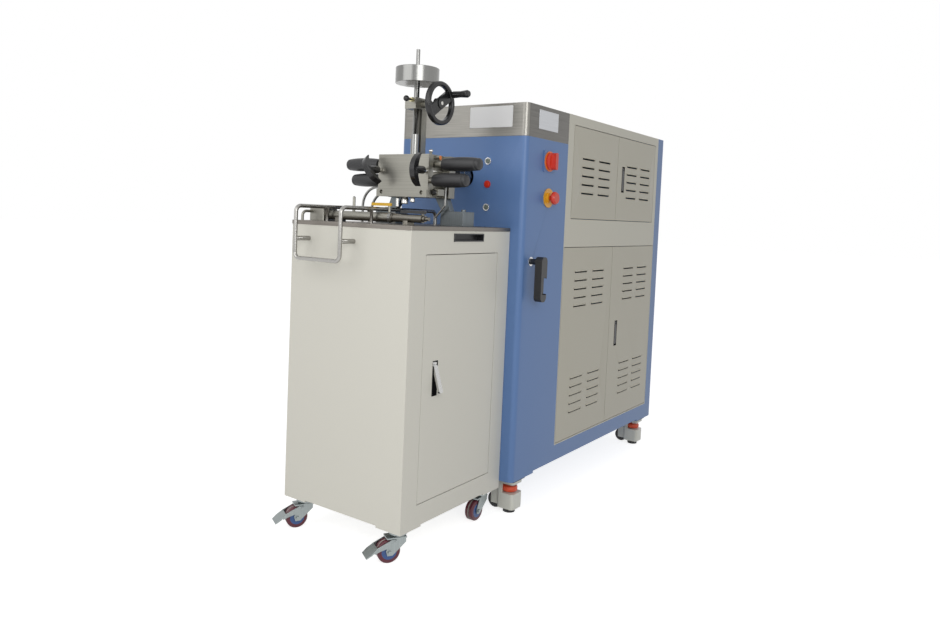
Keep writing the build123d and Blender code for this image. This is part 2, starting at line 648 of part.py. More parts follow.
def drive_unit():
    """Torque sensor, reduction gear and finned motor in line on the bed."""
    x, mid = DRIVE_AXIS
    foot_top = BED_TOP + REDUCER_FOOT
    sensor_rear = SENSOR_FRONT + SENSOR_LENGTH
    bore = SHAFT_RADIUS + RUNNING_CLEARANCE
    sensor = bar("Y", DRIVE_AXIS, SENSOR_RADIUS, SENSOR_FRONT, sensor_rear)
    sensor += block((x - 50, x + 50), (SENSOR_FRONT + 10, sensor_rear - 10), (BED_TOP, mid))
    sensor -= bar("Y", DRIVE_AXIS, bore, SENSOR_FRONT - 1, sensor_rear + 1)
    reducer_rear = sensor_rear + REDUCER_LENGTH
    half = REDUCER_WIDTH / 2
    reducer = soft_block((x - half, x + half), (sensor_rear, reducer_rear), (foot_top, mid + half),
                         Axis.Y, 12)
    reducer += block((x - half - 20, x + half + 20), (sensor_rear + 15, reducer_rear - 15),
                     (BED_TOP, foot_top))
    reducer -= bar("Y", DRIVE_AXIS, bore, sensor_rear - 1, sensor_rear + 60)
    motor_rear = reducer_rear + MOTOR_LENGTH
    motor = bar("Y", DRIVE_AXIS, MOTOR_RADIUS, reducer_rear, motor_rear)
    for turn in range(0, 360, 30):
        fin = block((-2, 2), (reducer_rear + 30, motor_rear - 40), (0, MOTOR_RADIUS + MOTOR_FIN))
        motor += Pos(x, 0, mid) * Rot(0, turn, 0) * fin
    motor += block((x - 45, x + 45), (reducer_rear + 50, motor_rear - 60), (BED_TOP, mid))
    return Compound([sensor, reducer, motor])


def drive_shaft():
    """Output shaft with the cabinet's half of the docking coupling."""
    shaft = bar("Y", DRIVE_AXIS, SHAFT_RADIUS, -4, SENSOR_FRONT + SENSOR_LENGTH + 55)
    half = bar("Y", DRIVE_AXIS, COUPLING_RADIUS, -COUPLING_MEET + 2, -4)
    half += bar("Y", DRIVE_AXIS, COUPLING_RADIUS - 8, -4, SENSOR_FRONT - 10)
    socket = COUPLING_TANG / 2 + 0.3
    x, z = DRIVE_AXIS
    half -= block((x - socket, x + socket), (-COUPLING_MEET + 1, -12), (z - socket, z + socket))
    return shaft + half


def panel_fittings():
    """Bezels, blank plates, switch plate, stop ring and lever socket."""
    pieces = []
    for row in range(BUTTON_COUNT):
        place = (BUTTON_X, BUTTON_TOP - row * BUTTON_PITCH)
        bezel = bar("Y", place, BEZEL_RADIUS, -4, 0) + bar("Y", place, BARREL_RADIUS, 0, 24)
        pieces.append(bezel - bar("Y", place, CAP_RADIUS + HINGE_CLEARANCE, -5, 22))
    x, rise, wide, tall = NAME_PLATE
    z = BAND_BOTTOM + rise
    pieces.append(soft_block((x - wide / 2, x + wide / 2), (-PLATE_THICK, 0), (z - tall / 2, z + tall / 2),
                             Axis.Y, 3))
    y, rise, wide, tall = DATA_PLATE
    z = BAND_BOTTOM + rise
    pieces.append(block((CAB_HALF, CAB_HALF + PLATE_THICK), (y - wide / 2, y + wide / 2),
                        (z - tall / 2, z + tall / 2)))
    half = SWITCH_PLATE / 2
    plate = soft_block((CAB_HALF, CAB_HALF + FACE_PLATE), (SWITCH_Y - half, SWITCH_Y + half),
                       (SWITCH_Z - half, SWITCH_Z + half), Axis.X, 5)
    plate += bar("X", (SWITCH_Y, SWITCH_Z), SWITCH_RADIUS + 4, CAB_HALF + FACE_PLATE,
                 CAB_HALF + 2 * FACE_PLATE)
    pieces.append(plate - bar("X", (SWITCH_Y, SWITCH_Z), SWITCH_SPINDLE + HINGE_CLEARANCE,
                              CAB_HALF - 1, CAB_HALF + 3 * FACE_PLATE))
    ring = bar("X", (STOP_Y, STOP_Z), STOP_RING, CAB_HALF, CAB_HALF + FACE_PLATE)
    ring += bar("X", (STOP_Y, STOP_Z), 16, CAB_HALF, CAB_HALF + 3 * FACE_PLATE)
    ring += bar("X", (STOP_Y, STOP_Z), STOP_BODY, CAB_HALF - 26, CAB_HALF)
    ring -= bar("X", (STOP_Y, STOP_Z), STOP_SPINDLE + HINGE_CLEARANCE, CAB_HALF - 24, CAB_HALF + 10)
    pieces.append(ring)
    socket = bar("X", (LEVER_Y, LEVER_Z), 14, CAB_HALF, CAB_HALF + FACE_PLATE)
    socket += bar("X", (LEVER_Y, LEVER_Z), LEVER_SOCKET, CAB_HALF - 20, CAB_HALF)
    socket -= bar("X", (LEVER_Y, LEVER_Z), LEVER_SPINDLE + HINGE_CLEARANCE, CAB_HALF - 18, CAB_HALF + 4)
    pieces.append(socket)
    return Compound(pieces)


def button(row):
    place = (BUTTON_X, BUTTON_TOP - row * BUTTON_PITCH)
    cap = bar("Y", place, CAP_RADIUS, -7, 12)
    return fillet(cap.edges().group_by(Axis.Y)[0], 1)


def main_switch():
    """Round knob with a raised grip bar and a pointer end."""
    spot = (SWITCH_Y, SWITCH_Z)
    face = CAB_HALF + 2 * FACE_PLATE + 0.2
    knob = turned("X", spot, face, [(SWITCH_RADIUS, 0), (SWITCH_RADIUS, 5), (SWITCH_RADIUS - 4, 8)])
    knob += soft_block((face, face + 24), (SWITCH_Y - SWITCH_BAR_HALF, SWITCH_Y + SWITCH_BAR_HALF),
                       (SWITCH_Z - SWITCH_RADIUS + 1, SWITCH_Z + SWITCH_RADIUS - 1), Axis.X, 6)
    return knob + bar("X", spot, SWITCH_SPINDLE, CAB_HALF - 15, face)


def emergency_stop():
    face = CAB_HALF + 16
    head = turned("X", (STOP_Y, STOP_Z), face, [(12, 0), (STOP_HEAD, 4), (STOP_HEAD, 10), (16, 16)])
    return head + bar("X", (STOP_Y, STOP_Z), STOP_SPINDLE, CAB_HALF - 15, face)


def docking_lever():
    """L-shaped handle that hangs on its stub beside the front corner."""
    spot = (LEVER_Y, LEVER_Z)
    inner = CAB_HALF + FACE_PLATE + 0.2
    face = CAB_HALF + FACE_PLATE + LEVER_THICK
    stub = bar("X", spot, 9, inner, face) + bar("X", spot, LEVER_SPINDLE, CAB_HALF - 16, inner)
    arm = soft_block((face, face + LEVER_THICK), (LEVER_Y - LEVER_HALF, LEVER_Y + LEVER_HALF),
                     (LEVER_Z - LEVER_REACH, LEVER_Z + LEVER_HALF - 1), Axis.X, LEVER_HALF - 2)
    recess = soft_block((face + 14, face + LEVER_THICK + 1),
                        (LEVER_Y - LEVER_HALF / 2, LEVER_Y + LEVER_HALF + 1),
                        (LEVER_Z - LEVER_REACH + 22, LEVER_Z - 46), Axis.X, 6)
    return stub + (arm - recess)


def corners(inset_x, inset_y, half_or_left, right, front, rear):
    """Corner names with their x and y."""
    return {
        "front_left": (half_or_left + inset_x, front + inset_y),
        "front_right": (right - inset_x, front + inset_y),
        "rear_left": (half_or_left + inset_x, rear - inset_y),
        "rear_right": (right - inset_x, rear - inset_y),
    }


LEVELLERS = corners(LEVELLER_INSET_X, LEVELLER_INSET_Y, -CAB_HALF, CAB_HALF, 0, CAB_DEPTH)
CASTERS = corners(CASTER_INSET, CASTER_INSET, TROLLEY_LEFT, TROLLEY_RIGHT, TROLLEY_FRONT, -DOCK_GAP)


def leveller_place(name):
    """Foot axis of a levelling caster, turned so that its wheel lies inwards."""
    x, y = LEVELLERS[name]
    return Pos(x, y, 0) * Rot(0, 0, 180 if x > 0 else 0)


def leveller_housing(name):
    """Plate and boxed body with a window for the thumbwheel and cheeks for the wheel."""
    top = LEVELLER_TOP - LEVELLER_PLATE
    half = LEVELLER_HALF
    axle_z = LEVELLER_WHEEL + WHEEL_LIFT
    cheek = LEVELLER_TREAD / 2 + 1
    body = soft_block((-half, half), (-half, half), (LEVELLER_FOOT_RISE, top), Axis.Z, 10)
    body += block((half - 4, LEVELLER_TRAIL + 10), (-cheek - 4, cheek + 4), (LEVELLER_FOOT_RISE + 4, 60))
    body += block((half - 4, LEVELLER_TRAIL + 22), (-cheek - 4, cheek + 4), (54, 66))
    body -= block((PAD_RADIUS + 3, LEVELLER_TRAIL + 30), (-cheek, cheek), (0, 56))
    body -= bar("Z", (0, 0), PAD_RADIUS + 0.6, 0, 42)
    body -= bar("Z", (0, 0), THUMB_RADIUS + 0.6, THUMB_BOTTOM - 4, THUMB_BOTTOM + 26)
    body -= block((-half - 1, 12), (-half - 1, half + 1), (THUMB_BOTTOM - 4, THUMB_BOTTOM + 26))
    body -= bar("Z", (0, 0), FOOT_SCREW + HINGE_CLEARANCE, 0, top - 2)
    body += bar("Y", (LEVELLER_TRAIL, axle_z), LEVELLER_AXLE, -cheek - 4, cheek + 4)
    plate = block((-33, 33), (-33, 33), (top, LEVELLER_TOP))
    return leveller_place(name) * (body + plate)


def leveller_wheel(name):
    place = (LEVELLER_TRAIL, LEVELLER_WHEEL + WHEEL_LIFT)
    half = LEVELLER_TREAD / 2
    wheel = chamfer(bar("Y", place, LEVELLER_WHEEL, -half, half).edges(), 2)
    wheel -= bar("Y", place, LEVELLER_AXLE + RUNNING_CLEARANCE, -half - 1, half + 1)
    return leveller_place(name) * wheel


def leveller_foot(name):
    """Red thumbwheel, screw and black pad in one turning foot."""
    wheel = turned("Z", (0, 0), THUMB_BOTTOM, [(THUMB_RADIUS - 2, 0), (THUMB_RADIUS, 3),
                                               (THUMB_RADIUS, 13), (THUMB_RADIUS - 2, 16)])
    pad = turned("Z", (0, 0), 0, [(PAD_RADIUS, 0), (PAD_RADIUS, 16), (10, 22), (FOOT_SCREW, 24)])
    screw = bar("Z", (0, 0), FOOT_SCREW, 10, LEVELLER_TOP - LEVELLER_PLATE - 6)
    return leveller_place(name) * (wheel + pad + screw)


def trolley_body():
    left, right = TROLLEY_LEFT, TROLLEY_RIGHT
    front, rear = TROLLEY_FRONT, -DOCK_GAP
    body = block((left, right), (front, rear), (TROLLEY_BOTTOM + CASTER_PLATE, BODY_TOP))
    body -= block((left + SHEET, right - SHEET), (front + SHEET, rear - SHEET),
                  (TROLLEY_BOTTOM + CASTER_PLATE + SHEET, BODY_TOP - SHEET))
    hinge, free = TROLLEY_DOOR_REAR, TROLLEY_DOOR_FRONT
    body -= block((right - SHEET - 1, right + 1), (free, hinge), (TROLLEY_DOOR_BOTTOM, TROLLEY_DOOR_TOP))
    body += hinge_lugs(right, hinge, free, TROLLEY_DOOR_BOTTOM, TROLLEY_DOOR_TOP, SHEET)
    body -= pin_hole(right, hinge, free, TROLLEY_DOOR_BOTTOM, TROLLEY_DOOR_TOP)
    for x, y in CASTERS.values():
        body += block((x - CASTER_INSET, x + CASTER_INSET), (y - CASTER_INSET, y + CASTER_INSET),
                      (TROLLEY_BOTTOM, TROLLEY_BOTTOM + CASTER_PLATE))
    pull = ((PULL_FRONT, PULL_REAR), (PULL_BOTTOM, PULL_BOTTOM + PULL_HEIGHT))
    body -= block((right - SHEET - 1, right + 1), *pull)
    tray = block((right - PULL_DEPTH, right + 2), *pull)
    tray -= block((right - PULL_DEPTH + 2, right + 3), (PULL_FRONT + 4, PULL_REAR - 4),
                  (PULL_BOTTOM + 3, PULL_BOTTOM + PULL_HEIGHT - 3))
    return Compound([body, tray])


def trolley_door():
    door = door_tray(TROLLEY_RIGHT, TROLLEY_DOOR_REAR, TROLLEY_DOOR_FRONT,
                     TROLLEY_DOOR_BOTTOM, TROLLEY_DOOR_TOP, SHEET)
    door += lock_cup(TROLLEY_RIGHT, *TROLLEY_LOCK)
    return door - lock_pocket(TROLLEY_RIGHT, *TROLLEY_LOCK)


def trolley_top():
    return soft_block((TROLLEY_LEFT - TABLE_LIP, TROLLEY_RIGHT + TABLE_LIP),
                      (TROLLEY_FRONT - TABLE_LIP, -DOCK_GAP), (BODY_TOP, TABLE_TOP), Axis.Z, 3)


def caster_fork(name):
    """Swivel head and two cheeks; the wheel trails along the heading."""
    x, y = CASTERS[name]
    top = TROLLEY_BOTTOM
    head = turned("Z", (0, 0), top - 20, [(20, 0), (25, 6), (25, 14), (21, 20)])
    half = CASTER_TREAD / 2 + 1.5
    fork = head + block((-20, 20 + CASTER_TRAIL - 12), (-half - FORK_SHEET, half + FORK_SHEET),
                        (top - 24, top - 20))
    for side in (-half - FORK_SHEET, half):
        outline = [(-18, top - 20), (20, top - 20), (CASTER_TRAIL + 10, CASTER_WHEEL + 4),
                   (CASTER_TRAIL + 6, CASTER_WHEEL - 9), (CASTER_TRAIL - 8, CASTER_WHEEL - 9),
                   (-18, top - 34)]
        plane = Plane(origin=(0, side, 0), x_dir=(1, 0, 0), z_dir=(0, -1, 0))
        fork += prism(plane, outline, -FORK_SHEET)
    fork += bar("Y", (CASTER_TRAIL, CASTER_WHEEL), CASTER_AXLE,
                -half - FORK_SHEET - 4, half + FORK_SHEET + 4)
    if name.startswith("front"):
        fork += bar("Y", PEDAL_PIVOT, PEDAL_PIN, half, half + FORK_SHEET + 4)
        fork += bar("Y", PEDAL_PIVOT, PEDAL_PIN, -half - FORK_SHEET - 4, -half)
    return Pos(x, y, 0) * Rot(0, 0, HEADINGS[name]) * fork


def caster_wheel(name):
    x, y = CASTERS[name]
    half = CASTER_TREAD / 2
    tread = [(CASTER_WHEEL - 3, -half), (CASTER_WHEEL, -half + 3), (CASTER_WHEEL, -2),
             (CASTER_WHEEL - 3, 0), (CASTER_WHEEL, 2), (CASTER_WHEEL, half - 3),
             (CASTER_WHEEL - 3, half)]
    wheel = turned("Y", (CASTER_TRAIL, CASTER_WHEEL), 0, tread)
    wheel -= bar("Y", (CASTER_TRAIL, CASTER_WHEEL), CASTER_AXLE + RUNNING_CLEARANCE, -half - 1, half + 1)
    return Pos(x, y, 0) * Rot(0, 0, HEADINGS[name]) * wheel


def brake_pedal(name):
    """Pressed pedal on a cross pin over the wheel."""
    x, y = CASTERS[name]
    wide = CASTER_TREAD / 2 + 1.5 + FORK_SHEET + 0.3
    pivot_x, pivot_z = PEDAL_PIVOT
    slope = Plane(origin=(58, 0, 44), x_dir=(30, 0, -22), z_dir=(22, 0, 30))
    toe = [(0, -wide - 3), (0, wide + 3), (20, wide + 7), (38, wide + 3), (38, -wide - 3),
           (20, -wide - 7)]
    pedal = prism(slope, toe, 3)
    for side in (-wide - 3, wide):
        outline = [(pivot_x - 6, pivot_z - 6), (pivot_x - 6, pivot_z + 5), (pivot_x + 8, pivot_z + 7),
                   (62, 46), (72, 37), (66, 32), (52, 38), (pivot_x + 14, pivot_z - 14)]
        plane = Plane(origin=(0, side, 0), x_dir=(1, 0, 0), z_dir=(0, -1, 0))
        pedal += prism(plane, outline, -3)
    pedal -= bar("Y", PEDAL_PIVOT, PEDAL_PIN + RUNNING_CLEARANCE, -wide - 5, wide + 5)
    return Pos(x, y, 0) * Rot(0, 0, HEADINGS[name]) * pedal


def guard_rails():
    """Two rails over the table, bent down in front and joined below as a push handle."""
    out = TROLLEY_FRONT - HANDLE_OUT
    left = [(RAIL_LEFT, RAIL_LEFT_END, TABLE_TOP), (RAIL_LEFT, RAIL_LEFT_END, RAIL_HEIGHT),
            (RAIL_LEFT, out, RAIL_HEIGHT), (RAIL_LEFT, out, HANDLE_BOTTOM),
            (RAIL_RIGHT, out, HANDLE_BOTTOM), (RAIL_RIGHT, out, RAIL_HEIGHT),
            (RAIL_RIGHT, RAIL_RIGHT_END, RAIL_HEIGHT), (RAIL_RIGHT, RAIL_RIGHT_END, TABLE_TOP)]
    rails = tube(left, RAIL_RADIUS, RAIL_BEND)
    for x in (RAIL_LEFT, RAIL_RIGHT):
        rails += bar("Z", (x, POST_Y), RAIL_RADIUS - 1, TABLE_TOP, RAIL_HEIGHT)
        rails += bar("Y", (x, STANDOFF_HEIGHT), RAIL_RADIUS + 1, out + 1, TROLLEY_FRONT)
    return rails


def cylinder():
    """End block, tube, clamp ring and dark front tube, on two saddles."""
    spot = (CYLINDER_Y, CYLINDER_Z)
    wide, deep, tall = END_BLOCK
    end = soft_block((CYLINDER_START - wide, CYLINDER_START), (CYLINDER_Y - deep / 2, CYLINDER_Y + deep / 2),
                     (TABLE_TOP, TABLE_TOP + tall), Axis.Z, 4)
    barrel = bar("X", spot, CYLINDER_RADIUS, CYLINDER_START, CYLINDER_STEP)
    barrel += bar("X", spot, CYLINDER_RADIUS + 2, CYLINDER_STEP - 14, CYLINDER_STEP - 4)
    front = bar("X", spot, CYLINDER_RADIUS - 2, CYLINDER_STEP, CYLINDER_END)
    saddles = [block((x - 8, x + 8), (CYLINDER_Y - 14, CYLINDER_Y + 14), (TABLE_TOP, CYLINDER_Z - 6))
               for x in (CYLINDER_START + 40, CYLINDER_STEP + 50)]
    tip = bar("X", spot, 8, CYLINDER_END, CYLINDER_END + 8)
    tip += bar("X", spot, 5, CYLINDER_END + 8, CYLINDER_END + 20)
    body = end + barrel + front + tip + saddles
    return Compound([body] + cylinder_fittings())


def cylinder_fittings():
    """Upright pin, yellow lever on its stem, guard bar and the bent tube at the end block."""
    top = CYLINDER_Z + CYLINDER_RADIUS
    pin = turned("Z", (PIN_X, CYLINDER_Y), top - 1, [(4, 0), (4, PIN_LENGTH - 3), (2, PIN_LENGTH)])
    stem = bar("Z", (LEVER_STEM_X, CYLINDER_Y), 4, top - 1, YELLOW_BOTTOM)
    pin -= bar("X", (CYLINDER_Y, CYLINDER_Z), CYLINDER_RADIUS, PIN_X - 9, PIN_X + 9)
    stem -= bar("X", (CYLINDER_Y, CYLINDER_Z), CYLINDER_RADIUS, LEVER_STEM_X - 9, LEVER_STEM_X + 9)
    yellow = soft_block((LEVER_STEM_X - YELLOW_LENGTH, LEVER_STEM_X + 6),
                        (CYLINDER_Y - 6, CYLINDER_Y + 6), (YELLOW_BOTTOM, YELLOW_BOTTOM + 8), Axis.Z, 5)
    wide, deep, tall = END_BLOCK
    x = CYLINDER_START - wide + 8
    y = CYLINDER_Y - deep / 2
    z = TABLE_TOP + tall - 14
    feed = tube([(x, y, z), (x, y - FEED_OUT, z), (x, y - FEED_OUT, TABLE_TOP)], FEED_RADIUS, 14)
    near, far, rise, thick = GUARD_BAR
    guard = block((near, far), (CYLINDER_Y - 5, CYLINDER_Y + 5),
                  (TABLE_TOP + rise, TABLE_TOP + rise + thick))
    post = bar("Z", (far - 8, CYLINDER_Y), 4, CYLINDER_Z, TABLE_TOP + rise + 1)
    post -= bar("X", (CYLINDER_Y, CYLINDER_Z), CYLINDER_RADIUS - 2, near, far)
    return [pin, stem, yellow, feed, guard + post]


def mixer_stand():
    """Two risers on the table, each with a leaning leg under the rear plate."""
    pieces = []
    front = REAR_FRONT + 3
    for side in (-1, 1):
        riser = block((side * RISER_INNER, side * RISER_OUTER), (front, front + RISER_DEPTH),
                      (TABLE_TOP, TABLE_TOP + RISER_HEIGHT))
        outline = [(side * LEG_TOP_INNER, MIXER_BOTTOM), (side * LEG_TOP_OUTER, MIXER_BOTTOM),
                   (side * (LEG_TOP_OUTER + LEG_SPREAD), TABLE_TOP + RISER_HEIGHT),
                   (side * (LEG_TOP_INNER + LEG_SPREAD + 8), TABLE_TOP + RISER_HEIGHT)]
        plane = Plane(origin=(0, front + LEG_DEPTH, 0), x_dir=(1, 0, 0), z_dir=(0, -1, 0))
        leg = prism(plane, outline, LEG_DEPTH)
        bolt = Pos(side * (RISER_OUTER - 20), front + 30, TABLE_TOP + RISER_HEIGHT + 3) * Cylinder(7, 6)
        pieces += [riser, leg, bolt]
    return Compound(pieces)


def mixer_rear():
    """Fixed rear plate with guide rods and gear case."""
    plate = block((-REAR_HALF, REAR_HALF), (REAR_FRONT, REAR_BACK), (MIXER_BOTTOM, MIXER_TOP - 2))
    for side in (-1, 1):
        bearing = (side * ROTOR_OFFSET, AXIS_HEIGHT)
        plate -= bar("Y", bearing, ROTOR_JOURNAL + RUNNING_CLEARANCE, REAR_FRONT - 1, REAR_BACK + 1)
        plate -= bar("Y", (side * STUD_X, AXIS_HEIGHT), STUD_RADIUS + STUD_CLEARANCE,
                     REAR_FRONT - 1, REAR_FRONT + 18)
        plate += bar("Y", (side * GUIDE_X, GUIDE_Z), GUIDE_RADIUS, PLATE_FRONT, REAR_FRONT + 5)
    tongue = PLUNGER_RADIUS + THROAT_CLEARANCE
    plate += block((-tongue + 0.3, tongue - 0.3), (RAM_Y + PLUNGER_RADIUS + 0.4, REAR_FRONT + 5),
                   (AXIS_HEIGHT + CAVITY_RADIUS, MIXER_TOP - 2))
    case = block((-GEAR_CASE_HALF, GEAR_CASE_HALF), (REAR_BACK, CASE_BACK),
                 (MIXER_BOTTOM + 8, MIXER_TOP - 12))
    inner = GEAR_CASE_HALF - GEAR_CASE_WALL
    case -= block((-inner, inner), (REAR_BACK - 1, CASE_BACK - GEAR_CASE_WALL),
                  (MIXER_BOTTOM + 2 * GEAR_CASE_WALL, MIXER_TOP - 12 - GEAR_CASE_WALL))
    case -= bar("Y", (ROTOR_OFFSET, AXIS_HEIGHT), ROTOR_JOURNAL + RUNNING_CLEARANCE,
                REAR_BACK, CASE_BACK + 1)
    return Compound([plate, case])


def stud_slots(solid, start, end):
    for side in (-1, 1):
        solid -= bar("Y", (side * STUD_X, AXIS_HEIGHT), STUD_RADIUS + STUD_CLEARANCE, start, end)
        solid -= bar("Y", (side * GUIDE_X, GUIDE_Z), GUIDE_RADIUS + RUNNING_CLEARANCE, start, end)
    return solid


def grip_collar(axis, z, start, length):
    """Collar and spindle of a grip on the chamber's side."""
    return turned(axis, (UPPER_GRIP_Y, z), start, [(COLLAR_RADIUS, 0), (COLLAR_RADIUS, length),
                                                   (SPINDLE_RADIUS, length), (SPINDLE_RADIUS, length + 90)])


def mixing_chamber():
    """Middle section: twin bores and a feed throat open to the rear plate."""
    back = CHAMBER_FRONT + CHAMBER_DEPTH
    span = (CHAMBER_FRONT - 1, back + 1)
    body = block((-CHAMBER_HALF, CHAMBER_HALF), (CHAMBER_FRONT, back), (MIXER_BOTTOM, MIXER_TOP))
    for side in (-1, 1):
        body -= bar("Y", (side * ROTOR_OFFSET, AXIS_HEIGHT), CAVITY_RADIUS, *span)
    throat = PLUNGER_RADIUS + THROAT_CLEARANCE
    body -= bar("Z", (0, RAM_Y), throat, AXIS_HEIGHT, MIXER_TOP + 1)
    body -= block((-throat, throat), (RAM_Y, back + 1), (AXIS_HEIGHT, MIXER_TOP + 1))
    body = stud_slots(body, *span)
    body += grip_collar("-X", UPPER_GRIP_Z, -CHAMBER_HALF, UPPER_COLLAR)
    body += grip_collar("X", UPPER_GRIP_Z, CHAMBER_HALF, UPPER_COLLAR)
    body += grip_collar("-X", LOWER_GRIP_Z, -CHAMBER_HALF, LOWER_GRIP_START - CHAMBER_HALF)
    return Compound([body] + chamber_fittings())


def chamber_fittings():
    """Sensor plug, lifting knob, clamp bosses with cap nuts, and cooling nipples underneath."""
    plug = bar("X", (UPPER_GRIP_Y + 4, MIXER_TOP - 8), 6, CHAMBER_HALF, CHAMBER_HALF + 15)
    knob = turned("Z", (LIFT_KNOB_X, NIPPLE_Y), MIXER_TOP, [(4, 0), (4, 6), (6, 9), (6, 12), (3, 15)])
    pieces = [plug, knob]
    front, rear = NIPPLE_Y - 3, NIPPLE_Y + 25
    for side in (-1, 1):
        boss = block((side * CHAMBER_HALF, side * (CHAMBER_HALF + BOSS_WIDTH)), (front, rear),
                     (MIXER_BOTTOM + 6, MIXER_BOTTOM + 6 + BOSS_HEIGHT))
        cap = turned("-Y", (side * (CHAMBER_HALF + BOSS_WIDTH / 2), MIXER_BOTTOM + 6 + BOSS_HEIGHT / 2),
                     front, [(7, 0), (7, 4), (5, 7)])
        pieces.append(boss + cap)
    for x, radius, length in NIPPLES:
        nipple = [(radius - 2, 0), (radius - 2, 3), (radius, 4), (radius, length - 2), (radius - 2, length)]
        solid = turned("Z", (0, 0), 0, nipple)
        pieces.append(Pos(x, NIPPLE_Y, MIXER_BOTTOM) * Rot(180, 0, 0) * solid)
    return pieces


def front_plate():
    """Cover plate with a proud ledge along its foot."""
    back = PLATE_FRONT + PLATE_DEPTH
    plate = block((-PLATE_HALF, PLATE_HALF), (PLATE_FRONT, back), (MIXER_BOTTOM, MIXER_TOP))
    plate += block((-PLATE_HALF, PLATE_HALF), (PLATE_FRONT - LEDGE_PROUD, PLATE_FRONT),
                   (MIXER_BOTTOM, MIXER_BOTTOM + LEDGE_HEIGHT))
    for side in (-1, 1):
        plate -= bar("Y", (side * ROTOR_OFFSET, AXIS_HEIGHT), ROTOR_JOURNAL + RUNNING_CLEARANCE,
                     back - 12, back + 1)
    plate = stud_slots(plate, PLATE_FRONT - LEDGE_PROUD - 1, back + 1)
    collar = turned("X", (LOWER_GRIP_Y, LOWER_GRIP_Z), PLATE_HALF,
                    [(LOWER_COLLAR_RADIUS, 0), (LOWER_COLLAR_RADIUS, LOWER_COLLAR),
                     (SPINDLE_RADIUS, LOWER_COLLAR), (SPINDLE_RADIUS, LOWER_COLLAR + 80)])
    return plate + collar


def grip(axis, start, end, y, z):
    """Bulged rubber grip on its spindle, which points along +X or -X."""
    side = 1 if axis == "X" else -1
    length = end - start
    profile = [(GRIP_RADIUS - 6, 0), (GRIP_RADIUS - 2, 10), (GRIP_RADIUS, length / 2),
               (GRIP_RADIUS - 2, length - 12), (GRIP_RADIUS - 5, length)]
    spindle = bar("X", (y, z), SPINDLE_RADIUS + 0.02, side * (start - 1), side * (end - 12))
    return turned(axis, (y, z), side * start, profile) - spindle


def chamber_grips():
    """Three grips on the chamber: two to the left and the upper right one."""
    upper = (UPPER_GRIP_START, UPPER_GRIP_END, UPPER_GRIP_Y, UPPER_GRIP_Z)
    lower = (LOWER_GRIP_START, LOWER_GRIP_END, UPPER_GRIP_Y, LOWER_GRIP_Z)
    return Compound([grip("-X", *upper), grip("X", *upper), grip("-X", *lower)])


def bow_handle(side, tilt):
    """Captive clamp stud with a bowed black wing on its end."""
    spot = (side * STUD_X, AXIS_HEIGHT)
    seat = PLATE_FRONT - 0.3
    stud = bar("Y", spot, STUD_RADIUS, seat - 12, REAR_FRONT + 16)
    hub = turned("-Y", (0, 0), 0, [(7, 0), (7, 10), (11, 14), (11, 32), (9, 52)])
    half = WING_LENGTH / 2
    outer = ThreePointArc((-half, -34), (0, -64), (half, -34))
    inner = ThreePointArc((half, -30), (0, -44), (-half, -30))
    ends = [Line(outer @ 1, inner @ 0), Line(inner @ 1, outer @ 0)]
    outline = make_face(Wire([outer, ends[0], inner, ends[1]]))
    wing = extrude(outline, 8, both=True)
    wing = Rot(0, 90, 0) * wing
    handle = hub + wing
    return stud + Pos(spot[0], seat, spot[1]) * Rot(0, tilt, 0) * handle


def rotor(side):
    """Roller blade rotor with its journals; the right one carries the docking tang."""
    spot = (side * ROTOR_OFFSET, AXIS_HEIGHT)
    front = PLATE_FRONT + PLATE_DEPTH - 11
    blade_start = CHAMBER_FRONT + 1
    blade_end = REAR_FRONT - 1
    length = blade_end - blade_start
    section = Circle(12) + Pos(0, 8) * RectangleRounded(12, 24, 5) + Pos(0, -8) * RectangleRounded(12, 24, 5)
    section = section & Circle(ROTOR_RADIUS)
    blade = extrude(section, length)
    blade = Pos(spot[0], blade_end, spot[1]) * Rot(90, 0, 0) * Rot(0, 0, 45 * side) * blade
    shaft = bar("Y", spot, ROTOR_JOURNAL, front, REAR_BACK + 40)
    if side > 0:
        shaft += bar("Y", spot, ROTOR_JOURNAL, REAR_BACK, -COUPLING_MEET)
        shaft += bar("Y", spot, COUPLING_RADIUS, -COUPLING_MEET - COUPLING_HALF, -COUPLING_MEET)
    return blade + shaft


def ram_column():
    """Column on the rear plate that carries the pinion head."""
    back = COLUMN_FRONT + COLUMN_DEPTH
    column = block((-COLUMN_HALF, COLUMN_HALF), (COLUMN_FRONT, back), (MIXER_TOP + 1, HEAD_BOTTOM))
    column += block((-COLUMN_HALF, COLUMN_HALF), (REAR_FRONT + 1, back), (MIXER_TOP - 2, MIXER_TOP + 1))
    head = block((HEAD_LEFT, HEAD_RIGHT), (HEAD_FRONT, back), (HEAD_BOTTOM, HEAD_TOP))
    head += bar("X", (PINION_Y, PINION_Z), 11, HEAD_RIGHT, HEAD_RIGHT + HEAD_BOSS)
    head -= bar("Z", (0, RAM_Y), RAM_RADIUS + RUNNING_CLEARANCE, HEAD_BOTTOM - 1, HEAD_TOP + 1)
    pocket = PITCH_RADIUS + GEAR_MODULE + 0.5
    half = PINION_WIDTH / 2 + 0.5
    head -= bar("X", (PINION_Y, PINION_Z), pocket, -half, half)
    head -= bar("X", (PINION_Y, PINION_Z), PINION_SHAFT + RUNNING_CLEARANCE,
                -half - 8, HEAD_RIGHT + HEAD_BOSS + 1)
    head -= bar("Y", (0, KNOB_Z), KNOB_SCREW + RUNNING_CLEARANCE, HEAD_FRONT - 1, RAM_Y)
    return column + head


